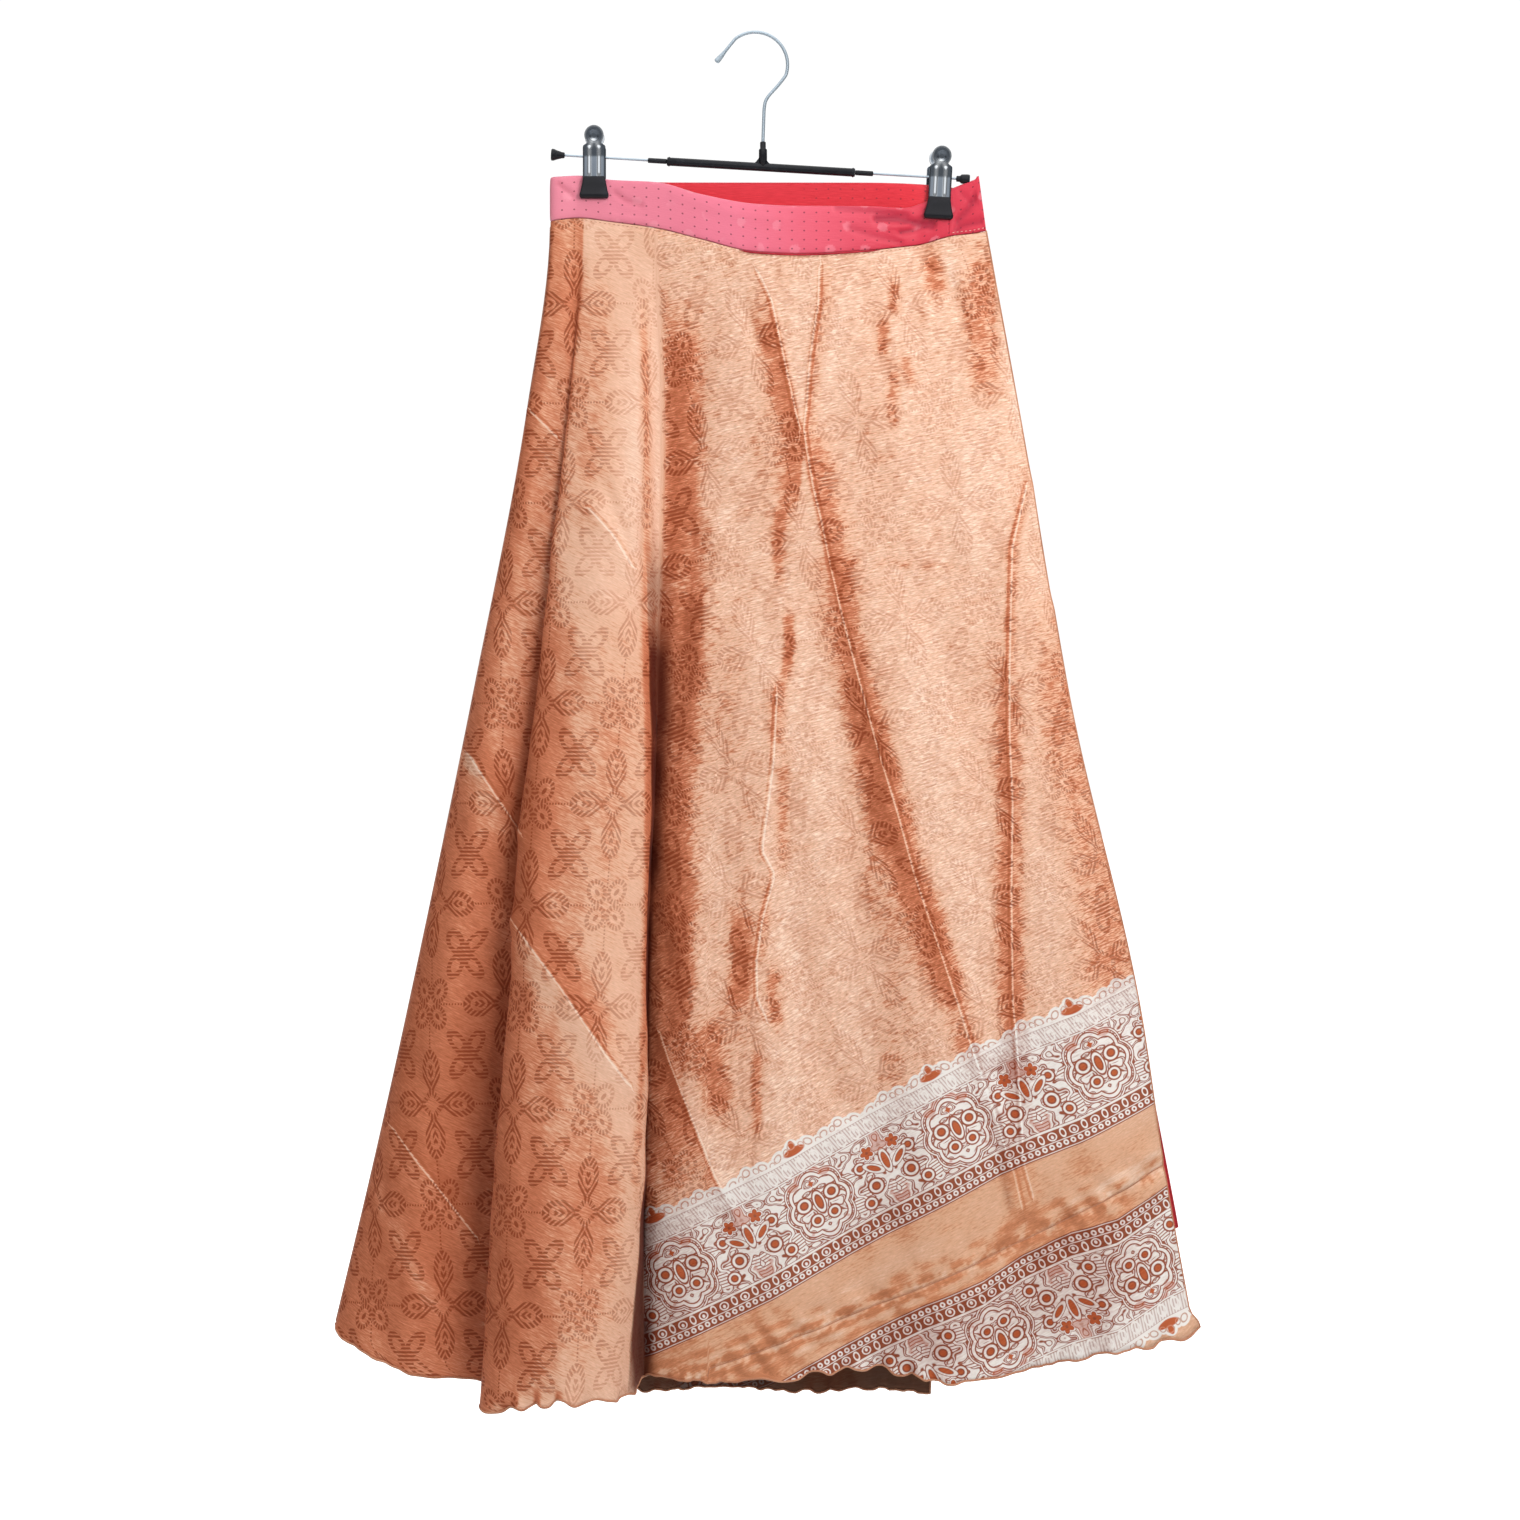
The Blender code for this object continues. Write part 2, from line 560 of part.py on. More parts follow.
def build_socket(group):
    """The moulded socket in one piece: main sleeve, post that takes the hook, and a web at each side."""
    black = material_named("black_plastic", 0.4, 0.0)
    socket = rod("socket", SLEEVE_LEFT_X, SLEEVE_RIGHT_X, SLEEVE_RADIUS, black, group)
    cutters = bpy.data.collections["wrap_skirt_helpers"]
    stem_x, stem_foot = HOOK_STEM[0]
    seat = bar_point(stem_x)
    height = stem_foot - GAP - seat[2]
    shoulder = height - POST_NECK_LENGTH
    slope = POST_RADIUS - POST_NECK_RADIUS
    profile = [(0, height), (POST_NECK_RADIUS, height), (POST_NECK_RADIUS, shoulder)]
    profile += [(POST_RADIUS, shoulder - slope), (POST_RADIUS, 0), (0, 0)]
    helpers = [turned("socket_post", profile, seat, 0.0, black, cutters)]
    for side, rise in zip((-1, 1), WEB_RISES):
        outline = [(side * WEB_ROOT, 1), (side * WEB_ROOT, rise), (side * (WEB_ROOT + rise), 1)]
        web = prism(f"socket_web_{rise:.0f}", outline, outline, -WEB_THICK / 2, WEB_THICK / 2)
        web.location = Vector(seat) * MM
        cutters.objects.link(web)
        helpers.append(web)
    for helper in helpers:
        helper.hide_render = True
        helper.display_type = "WIRE"
        join = socket.modifiers.new(helper.name, "BOOLEAN")
        join.operation = "UNION"
        join.solver = "EXACT"
        join.object = helper


def build_bar(group):
    steel = material_named("steel", 0.3, 1.0)
    black = material_named("black_plastic", 0.4, 0.0)
    build_socket(group)
    wire_radius = BAR_WIRE / 2
    half = END_CAP_LENGTH / 2
    first, last = BAR_LEFT[0] + half + GAP, BAR_RIGHT[0] - half - GAP
    thin_left, thin_right = THIN_SLEEVE_LEFT_X, THIN_SLEEVE_RIGHT_X
    rod("thin_sleeve_left", thin_left, SLEEVE_LEFT_X - GAP, THIN_SLEEVE_RADIUS, black, group, 12)
    rod("thin_sleeve_right", SLEEVE_RIGHT_X + GAP, thin_right, THIN_SLEEVE_RADIUS, black, group, 12)
    rod("bar_wire_left", first, thin_left - GAP, wire_radius, steel, group, 10)
    rod("bar_wire_right", thin_right + GAP, last, wire_radius, steel, group, 10)
    rim = half - END_CAP_RADIUS * 0.4
    flare = [(0, half), (END_CAP_RADIUS, half), (END_CAP_RADIUS, rim)]
    flare += [(END_CAP_NECK_RADIUS, half - END_CAP_FLARE), (END_CAP_NECK_RADIUS, -half), (0, -half)]
    turned("end_cap_left", flare, bar_point(BAR_LEFT[0]), bar_tilt(), black, group)
    turned("end_cap_right", flare, bar_point(BAR_RIGHT[0]), bar_tilt() + math.pi, black, group)


def clip_half_width(height):
    """Half the plate's width: a round head on a short neck, then the straight body."""
    down = CLIP_HEAD_ABOVE_BAR - height
    if down > CLIP_NECK_DOWN:
        return CLIP_WIDTH / 2
    across = CLIP_HEAD_RADIUS**2 - (down - CLIP_HEAD_RADIUS) ** 2
    return math.sqrt(max(across, CLIP_HEAD_TOP_HALF**2))


def clip_plate_depth(height):
    """How far a plate stands from the bar: wide at the head, round the barrel, closing at the jaw."""
    marks = (-CLIP_FOOT_BELOW_BAR, *PLATE_BEND_HEIGHTS, CLIP_HEAD_ABOVE_BAR)
    barrel = BARREL_RADIUS + GAP + CLIP_PLATE / 2
    waist, shoulder, head = PLATE_SPREAD
    depths = (clip_jaw() + TIP_THICK / 2, barrel + waist, barrel, barrel + shoulder, barrel + head)
    return float(np.interp(height, marks, depths))


def clip_jaw():
    """From the bar's axis to a tip's gripping face, with both halves of the band between the tips."""
    return BAND_WALL + GAP / 2 + GAP


def build_clip_plate(name, side, columns, group):
    heights = [CLIP_HEAD_ABOVE_BAR - step for step in CLIP_HEAD_ROWS]
    heights += list(np.linspace(CLIP_BODY_TOP, -CLIP_FOOT_BELOW_BAR, CLIP_BODY_ROWS))
    rows = []
    for height in heights:
        half = clip_half_width(height)
        depth = clip_plate_depth(height)
        raised = RIB_HEIGHT if height < RIB_TOP and columns is RIBBED_COLUMNS else 0.0
        on_rib = [RIB_SHARES[0] < abs(share) < RIB_SHARES[1] for share in columns]
        rows.append([
            (share * half, side * (depth + raised * rib), height) for share, rib in zip(columns, on_rib)
        ])
    return loft(name, rows, CLIP_PLATE, material_named("chrome", 0.18, 1.0), group)


def build_clip_tip(name, side, group):
    """A rubber jaw cover that flares towards its foot."""
    half, foot = TIP_TOP_WIDTH / 2, TIP_FOOT_WIDTH / 2
    top = -CLIP_FOOT_BELOW_BAR - GAP
    bottom = top - TIP_LENGTH
    right = [(half, top), (foot, bottom + TIP_FOOT_RISE), (foot - TIP_FOOT_INSET, bottom)]
    outline = right + [(-x, z) for x, z in reversed(right)]
    face = [(x * TIP_FACE_SHARE, z) for x, z in outline]
    tip = prism(name, outline, face, side * clip_jaw(), side * (clip_jaw() + TIP_THICK))
    tip.data.materials.append(material_named("black_rubber", 0.55, 0.0))
    group.objects.link(tip)
    rounded = tip.modifiers.new("rounded", "BEVEL")
    rounded.width = TIP_ROUNDING * MM
    rounded.segments = 2
    rounded.limit_method = "ANGLE"
    return tip


def build_clip(clip, group):
    """A sprung clip: a barrel on the bar, and a plate with a rubber tip on each side of the cloth."""
    root = bpy.data.objects.new(f"clip_{clip.name}", None)
    group.objects.link(root)
    root.location = Vector(bar_point(clip.x)) * MM
    root.rotation_euler = (0.0, clip.lean, 0.0)
    inner, half = BAR_WIRE / 2 + GAP, BARREL_LENGTH / 2
    ring = [(inner, half), (BARREL_RADIUS, half), (BARREL_RADIUS, -half), (inner, -half), (inner, half)]
    chrome = material_named("chrome", 0.18, 1.0)
    turned(f"clip_{clip.name}_barrel", ring, bar_point(clip.x), bar_tilt(), chrome, group, 14)
    for face, side, columns in (("front", -1.0, RIBBED_COLUMNS), ("back", 1.0, PLAIN_COLUMNS)):
        plate = build_clip_plate(f"clip_{clip.name}_plate_{face}", side, columns, group)
        tip = build_clip_tip(f"clip_{clip.name}_tip_{face}", side, group)
        plate.parent = root
        tip.parent = root


def main():
    clear_scene()
    group = collection_named("wrap_skirt_on_clip_hanger")
    helpers = collection_named("wrap_skirt_helpers")
    helpers.hide_render = True
    front = BandLine(BAND_FRONT)
    back = BandLine(BAND_BACK)
    layer = (PANEL_WALL + GAP) / 2
    satin_back = material_named("satin_back", 0.4, 0.0)
    red = material_named("red_cloth", 0.45, 0.0)
    build_front(group, Panel(FRONT_FOLDS, front, 1.0, layer, FRONT_COLUMNS))
    rows = panel_rows(Panel(BACK_FOLDS, back, -1.0, layer, BACK_COLUMNS), 10)
    loft("back_panel", rows, PANEL_WALL, satin_back, group)
    rows = panel_rows(Panel(UNDER_FRONT_FOLDS, front, 1.0, -layer, UNDER_FRONT_COLUMNS), 9)
    loft("under_front", rows, PANEL_WALL, red, group)
    rows = panel_rows(Panel(UNDER_BACK_FOLDS, back, -1.0, -layer, UNDER_BACK_COLUMNS), 8)
    loft("under_back", rows, PANEL_WALL, red, group)
    build_bands(group, front, back)
    build_ties(group)
    steel = material_named("steel", 0.3, 1.0)
    wire("hook", hook_route(), HOOK_WIRE / 2, steel, group)
    build_bar(group)
    for clip in CLIPS:
        build_clip(clip, group)


main()
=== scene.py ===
import math

import bmesh
import bpy
import numpy as np
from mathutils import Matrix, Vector


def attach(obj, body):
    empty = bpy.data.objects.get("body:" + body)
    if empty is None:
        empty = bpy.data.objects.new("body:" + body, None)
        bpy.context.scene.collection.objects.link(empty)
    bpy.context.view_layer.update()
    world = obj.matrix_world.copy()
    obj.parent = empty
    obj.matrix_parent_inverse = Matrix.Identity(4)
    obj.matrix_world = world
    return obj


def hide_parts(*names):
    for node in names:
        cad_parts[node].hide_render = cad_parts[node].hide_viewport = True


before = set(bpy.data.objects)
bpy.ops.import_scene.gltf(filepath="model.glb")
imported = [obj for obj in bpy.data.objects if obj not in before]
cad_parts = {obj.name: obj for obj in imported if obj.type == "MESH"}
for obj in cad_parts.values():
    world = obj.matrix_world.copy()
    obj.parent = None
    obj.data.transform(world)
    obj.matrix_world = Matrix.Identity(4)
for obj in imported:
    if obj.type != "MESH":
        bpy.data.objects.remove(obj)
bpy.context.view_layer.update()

mm = 0.001
cloth = 0.7  # thickness shown of every cloth shell, in millimetres like all sizes below
print("skirt: CAD loaded")

# shares of the drop from band to hem at which the folds below are given
levels = (0.0, 0.17, 0.42, 0.70, 0.85, 1.0)


def curveThrough(knots, rows, at, start=1.0, each=False):
    # level where a row is a crest or a hollow; with each, every place has a table of its own
    knots, rows = np.asarray(knots, float), np.asarray(rows, float)
    steps = np.diff(rows, axis=0) / np.diff(knots).reshape((-1,) + (1,) * (rows.ndim - 1))
    before, after = steps[:-1], steps[1:]
    rising = before * after > 0
    inner = np.where(rising, 2 * before * after / np.where(rising, before + after, 1.0), 0.0)
    slopes = np.concatenate((steps[:1] * start, inner, steps[-1:]))
    at = np.clip(np.asarray(at, float), knots[0], knots[-1])
    cell = np.clip(np.searchsorted(knots, at, side="right") - 1, 0, len(knots) - 2)
    here = (cell, np.arange(len(at))) if each else (cell,)
    ahead = (cell + 1, np.arange(len(at))) if each else (cell + 1,)
    shape = (-1,) + (1,) * (rows[here].ndim - 1)
    width = (knots[cell + 1] - knots[cell]).reshape(shape)
    t = (at - knots[cell]).reshape(shape) / width
    rise = t * t * (3 - 2 * t)
    level = rows[here] * (1 - rise) + rows[ahead] * rise
    return level + width * t * (1 - t) * (slopes[here] * (1 - t) - slopes[ahead] * t)


def smooth(low, high, value):
    t = np.clip((value - low) / (high - low), 0, 1)
    return t * t * (3 - 2 * t)


def swells(x, z, across, tall, seed):
    # soft uneven waves from about -1 to 1, roughly across wide and tall high
    pick = np.random.default_rng(seed)
    total = np.zeros_like(x)
    for _ in range(6):
        turn = pick.uniform(0, 2 * math.pi)
        stretch = pick.uniform(0.7, 1.6)
        along = x / across * math.cos(turn) + z / tall * math.sin(turn)
        total += np.sin(along * 2 * math.pi / stretch + pick.uniform(0, 2 * math.pi))
    return total / 3


class BandLine:
    # the waistband's middle surface, measured from its left turn
    def __init__(self, stops):
        self.rows = np.array(stops, float)
        run = np.hypot(np.diff(self.rows[:, 0]), np.diff(self.rows[:, 1]))
        self.knots = np.concatenate(([0.0], np.cumsum(run)))
        self.length = self.knots[-1]

    def at(self, along):
        return curveThrough(self.knots, self.rows, along)

    def outward(self, along, side):
        half = 0.5
        middle = np.clip(along, half, self.length - half)
        run = self.at(middle + half)[:, :2] - self.at(middle - half)[:, :2]
        run /= np.linalg.norm(run, axis=1)[:, None]
        return np.stack([run[:, 1], -run[:, 0]], axis=1) * side


class Panel:
    # folds are rows of: distance along the band, five x and five y down to the hem,
    # and the hem's height
    def __init__(self, folds, band, side, offset, tuck):
        self.band, self.side, self.offset, self.tuck = band, side, offset, tuck
        self.waist = np.array([fold[0] for fold in folds], float)
        plan = [self.edge(self.waist)[:, :2]]
        plan += [np.array([(fold[1][i], fold[2][i]) for fold in folds], float) for i in range(5)]
        self.lines = np.array(plan)
        self.hem = np.array([fold[3] for fold in folds], float)
        run = np.hypot(*np.diff(self.lines[1:].mean(axis=0), axis=0).T)
        self.knots = np.concatenate(([0.0], np.cumsum(run))) / run.sum()

    def edge(self, along):
        found = self.band.at(along)
        found[:, :2] += self.band.outward(along, self.side) * self.offset
        return np.column_stack((found[:, :2], found[:, 3] - self.tuck))

    def points(self, u, down):
        flare = np.repeat(self.knots, 2)
        lines = curveThrough(levels, self.lines.reshape(len(levels), -1), down, start=flare)
        lines = lines.reshape(len(down), -1, 2).transpose(1, 0, 2)
        plan = curveThrough(self.knots, lines, u, each=True)
        top = self.edge(curveThrough(self.knots, self.waist, u))
        hung = curveThrough(self.knots, self.lines[0], u)
        plan += (top[:, :2] - hung) * (np.clip(1 - down / levels[1], 0, 1) ** 2)[:, None]
        foot = curveThrough(self.knots, self.hem, u)
        return np.column_stack((plan, top[:, 2] + (foot - top[:, 2]) * down))

    def outward(self, u, down):
        aside, lower = 0.002, 0.003
        across = self.points(np.minimum(u + aside, 1), down)
        across -= self.points(np.maximum(u - aside, 0), down)
        fall = self.points(u, np.minimum(down + lower, 1))
        fall -= self.points(u, np.maximum(down - lower, 0))
        out = np.cross(fall, across) * self.side
        return out / np.linalg.norm(out, axis=1)[:, None]

    def drop(self, u):
        top = self.edge(curveThrough(self.knots, self.waist, u))[:, 2]
        return top - curveThrough(self.knots, self.hem, u)


def crowded(count, pull=0.026, reach=0.035):
    # shares from 0 to 1 set closer near 0, where the cloth turns round the side
    share = np.linspace(0, 1, count)
    return (share - pull * (1 - np.exp(-share / reach))) / (1 - pull)


bandFront = BandLine((
    (-150.8, -0.65, -107.0, -139.7),
    (-150.7, -1.8, -106.8, -139.7),
    (-147.0, -3.4, -106.6, -138.9),
    (-130.8, -1.5, -105.5, -137.1),
    (-108.5, -1.5, -108.5, -139.7),
    (-73.6, -4.0, -110.7, -144.9),
    (-39.4, -7.6, -120.4, -153.8),
    (0.7, -10.0, -127.8, -163.5),
    (33.4, -10.0, -129.3, -164.9),
    (84.0, -8.0, -129.3, -162.0),
    (109.2, -4.5, -130.0, -159.0),
    (123.3, -1.5, -126.3, -156.8),
    (147.9, -1.5, -114.3, -150.1),
    (160.4, -2.0, -109.6, -148.9),
    (166.4, -2.2, -107.2, -147.9),
    (171.5, -2.2, -105.8, -146.8),
))
bandBack = BandLine((
    (-150.8, 0.65, -107.0, -139.7),
    (-150.7, 1.8, -106.8, -139.7),
    (-147.0, 3.4, -106.6, -138.9),
    (-130.8, 1.5, -105.5, -137.1),
    (-108.5, 1.5, -108.5, -140.5),
    (-60.0, 5.2, -109.5, -143.5),
    (80.0, 5.2, -109.6, -144.0),
    (123.3, 1.5, -111.5, -146.0),
    (150.0, 1.5, -114.4, -147.4),
))
bandSeamX = 144.1

# side seam, side round, outer left, behind flute, flute edge, front and crest, flute right
# and its edge, valley and its right, right rise, middle, trough, swell, dip, roll, edge roll,
# free edge
frontFolds = (
    (0, (-169, -208.5, -256.5, -284, -313.5), (3, 8, 12, 14, 15), -962),
    (3.5, (-168.6, -208, -256, -283.4, -312.9), (-1, 3, 6, 8, 9), -963),
    (13, (-157, -190, -229, -245, -261), (-8, -11, -15, -18, -21), -989),
    (21, (-137, -157, -177, -182, -186), (-4, -2, 1, 3, 4), -1005),
    (26, (-138.5, -163.5, -185, -193, -201), (-9, -17, -27, -33, -39), -1013),
    (37, (-124, -148, -166, -172, -177), (-14, -28, -45, -56, -64), -1010),
    (48, (-106, -121, -133, -138, -143), (-16, -32, -51, -63, -73), -1004),
    (60, (-91, -94.5, -98, -104, -110), (-14, -26, -41, -50, -58), -1005),
    (70, (-80, -78, -79, -85, -93), (-9, -13, -19, -25, -30), -1007),
    (79, (-69, -73, -82, -83, -83), (0, 3, 5, 5, 4), -999),
    (88, (-53, -62, -71, -73, -74.5), (-4, -2, -3, -4, -5), -995.5),
    (112, (-22, -32, -41, -41, -41), (-10, -11, -15, -16, -17), -998),
    (150, (17, 11, 5, 10, 15), (-13, -16, -20, -21, -22), -995.5),
    (190, (59.5, 63, 70.5, 77, 84), (-11, -12, -14, -15, -16), -988),
    (225, (100, 115, 134, 141, 148.5), (-13, -18, -24, -27, -30), -997),
    (255, (137.5, 160, 189.5, 201, 212), (-9, -12, -16, -17, -18), -986),
    (279, (167, 197, 238, 252, 267.5), (-8, -12, -18, -21, -24), -975),
    (310, (188, 221, 271, 288, 306), (-5, -8, -12, -13, -14), -970),
    (325, (197, 232.5, 285, 303.5, 325.5), (-1, -2, -4, -4, -4), -966),
)
backFolds = (
    (0, (-169, -208.5, -256.5, -284, -313.5), (3.4, 8.4, 12.4, 14.4, 15.4), -962),
    (3.5, (-168.6, -208, -256, -283.4, -312.9), (6.5, 13, 18, 20.5, 22), -963),
    (34, (-140, -172, -211, -232, -255), (18, 34, 51, 58, 64), -990),
    (72, (-107, -131, -165, -181, -199), (13, 25, 35, 38, 40), -1003),
    (112, (-66, -87, -115, -129, -144), (17, 33, 51, 60, 67), -1011),
    (154, (-26, -42, -65, -74, -84), (13, 24, 34, 37, 39), -1014),
    (198, (22, 10, -9, -17, -25), (16, 32, 49, 58, 65), -1016),
    (238, (68, 61, 48, 41, 35), (13, 24, 33, 36, 38), -1015),
    (272, (112, 107, 98, 92, 86), (14, 28, 43, 51, 56), -1016),
    (300.5, (149, 146, 140, 136, 132), (11, 21, 30, 34, 37), -1016),
)
underFrontFolds = (
    (0, (-163, -198, -244, -266, -288), (3, 8, 12, 14, 15), -896),
    (3, (-162.8, -197.7, -243.6, -265.6, -287.6), (0, 4.5, 8.5, 10.5, 11.5), -897),
    (34, (-130, -153, -187, -205, -222), (2, 6, 10, 12, 14), -914),
    (72, (-92, -105, -128, -140, -150), (2.5, 5.5, 8.5, 9.5, 10), -922),
    (120, (-40, -45, -54, -58, -61), (1, 6, 10, 12, 14), -928),
    (165, (13, 17, 24, 28, 33), (-1, 3, 6, 8, 9), -926),
    (212, (68, 84, 105, 117, 129), (-1, 2, 6, 9, 11), -921),
    (262, (125, 154, 190, 209, 229), (-1, 1, 2, 3, 4), -908),
    (300, (169, 205, 249, 269, 291), (0, 2, 3, 3, 3), -893),
    (322, (189, 220.5, 270, 293, 314.3), (3, 4, 4, 3, 3), -886),
)
underBackFolds = (
    (0, (-163, -198, -244, -266, -288), (4.0, 9.0, 13.0, 15.0, 16.0), -896),
    (3, (-162.8, -197.7, -243.6, -265.6, -287.6), (6.5, 12, 16.5, 18.5, 20), -897),
    (60, (-116, -138, -171, -188, -206), (9.5, 19, 28, 32, 34.5), -916),
    (120, (-56, -73, -97, -109, -121), (9.5, 18, 25, 28, 30), -926),
    (180, (4, -8, -26, -35, -45), (10, 19.5, 28, 31.5, 34), -930),
    (245, (73, 65, 50, 42, 34), (9.5, 18, 25, 28, 30), -930),
    (298, (142, 138, 128, 121, 114), (7, 15, 23, 27, 30), -929),
)
layer = 0.75  # from the band's middle to each of its two layers of cloth
outerTuck, innerTuck = 0.3, 0.8  # how far each layer's top lies above or below the band's foot
front = Panel(frontFolds, bandFront, 1, layer, outerTuck)
back = Panel(backFolds, bandBack, -1, layer, outerTuck)
underFront = Panel(underFrontFolds, bandFront, 1, -layer, innerTuck)
underBack = Panel(underBackFolds, bandBack, -1, -layer, innerTuck)
fluteEdgeShare, crestKnot, fluteRightShare, valleyShare, middleKnot = front.knots[[4, 6, 8, 9, 12]]
print("skirt: panels ready")


class Field:
    # a node socket that can be added, scaled and shaped, so a formula in nodes reads as one
    def __init__(self, tree, socket):
        self.tree, self.socket = tree, socket

    def do(self, operation, *others, clamp=False):
        node = self.tree.nodes.new("ShaderNodeMath")
        node.operation = operation
        node.use_clamp = clamp
        for plug, value in zip(node.inputs, (self, *others)):
            join(value, plug)
        return Field(self.tree, node.outputs[0])

    def __add__(self, other):
        return self.do("ADD", other)

    def __sub__(self, other):
        return self.do("SUBTRACT", other)

    def __mul__(self, other):
        return self.do("MULTIPLY", other)

    def below(self, limit, soft=0.35):
        return self.do("MULTIPLY_ADD", -1 / soft, limit / soft + 0.5, clamp=True)

    def above(self, limit, soft=0.35):
        return self.do("MULTIPLY_ADD", 1 / soft, 0.5 - limit / soft, clamp=True)

    def ring(self, centre, half, soft=0.35):
        return (self - centre).do("ABSOLUTE").below(half, soft)

    def teeth(self, period, soft=0.35, wide=0.5):
        return self.do("PINGPONG", period / 2).above(period / 2 * (1 - wide), soft)

    def either(self, other):
        return self.do("MAXIMUM", other)

    def centred(self, period):
        return self.do("WRAP", period / 2, -period / 2)


def join(value, plug):
    if isinstance(value, Field):
        value.tree.links.new(value.socket, plug)
    else:
        plug.default_value = value


def packed(x, y, z=0.0):
    node = x.tree.nodes.new("ShaderNodeCombineXYZ")
    for plug, value in zip(node.inputs, (x, y, z)):
        join(value, plug)
    return Field(x.tree, node.outputs[0])


def reach(x, y):
    node = x.tree.nodes.new("ShaderNodeVectorMath")
    node.operation = "LENGTH"
    join(packed(x, y), node.inputs[0])
    return Field(x.tree, node.outputs["Value"])


def oval(x, y, at, half):
    # 1 on an ellipse's outline, less inside it
    return reach((x - at[0]) * (1 / half[0]), (y - at[1]) * (1 / half[1]))


def noise(vector, scale, detail=2.0):
    node = vector.tree.nodes.new("ShaderNodeTexNoise")
    node.inputs["Scale"].default_value = scale
    node.inputs["Detail"].default_value = detail
    join(vector, node.inputs["Vector"])
    return Field(vector.tree, node.outputs[0])


def mixed(factor, first, second, way="MIX"):
    tree = factor.tree if isinstance(factor, Field) else first.tree
    node = tree.nodes.new("ShaderNodeMix")
    node.data_type = "RGBA"
    node.blend_type = way
    join(factor, node.inputs[0])
    join(first, node.inputs[6])
    join(second, node.inputs[7])
    return Field(tree, node.outputs[2])


def ramp(factor, stops):
    node = factor.tree.nodes.new("ShaderNodeValToRGB")
    join(factor, node.inputs[0])
    marks = node.color_ramp.elements
    while len(marks) < len(stops):
        marks.new(0.5)
    for mark, (place, colour) in zip(marks, stops):
        mark.position = place
        mark.color = colour
    return Field(factor.tree, node.outputs[0])


def paint(red, green, blue):
    # a display colour from 0 to 255 as the shader's linear one
    return (*[((c / 255 + 0.055) / 1.055) ** 2.4 for c in (red, green, blue)], 1.0)


def group(name, inputs, outputs):
    tree = bpy.data.node_groups.new(name, "ShaderNodeTree")
    for labels, way in ((inputs, "INPUT"), (outputs, "OUTPUT")):
        for label in labels:
            tree.interface.new_socket(label, in_out=way, socket_type="NodeSocketFloat")
    given = tree.nodes.new("NodeGroupInput")
    result = tree.nodes.new("NodeGroupOutput")
    return [Field(tree, given.outputs[label]) for label in inputs], result


def give(result, *values):
    for plug, value in zip(result.inputs, values):
        join(value, plug)


def grouped(tree, name, *values):
    node = tree.nodes.new("ShaderNodeGroup")
    node.node_tree = bpy.data.node_groups[name]
    for plug, value in zip(node.inputs, values):
        join(value, plug)
    return [Field(tree, plug) for plug in node.outputs]


def finish(name, roughness, **fixed):
    # a material with its shader's constants set
    made = bpy.data.materials.new(name)
    made.use_nodes = True
    shader = made.node_tree.nodes["Principled BSDF"]
    shader.inputs["Roughness"].default_value = roughness
    for label, value in fixed.items():
        shader.inputs[label.replace("_", " ")].default_value = value
    return made, made.node_tree, shader


def uvOf(tree, name):
    # a UV map's place in millimetres
    node = tree.nodes.new("ShaderNodeUVMap")
    node.uv_map = name
    apart = tree.nodes.new("ShaderNodeSeparateXYZ")
    tree.links.new(node.outputs[0], apart.inputs[0])
    return [Field(tree, apart.outputs[i]) * 1000 for i in range(2)]


def placeOf(tree):
    node = tree.nodes.new("ShaderNodeTexCoord")
    return Field(tree, node.outputs["Object"])


def valueOf(tree, name):
    node = tree.nodes.new("ShaderNodeAttribute")
    node.attribute_name = name
    return Field(tree, node.outputs["Fac"])


def bumped(shader, height, strength, distance):
    node = height.tree.nodes.new("ShaderNodeBump")
    node.inputs["Strength"].default_value = strength
    node.inputs["Distance"].default_value = distance
    join(height, node.inputs["Height"])
    height.tree.links.new(node.outputs[0], shader.inputs["Normal"])


# the lattice is charted in millimetres, each way from the repeat's corner
lattice = {"cell": 60.0, "squash": 0.81, "tooth": 2.7, "diagonal": 0.7071}


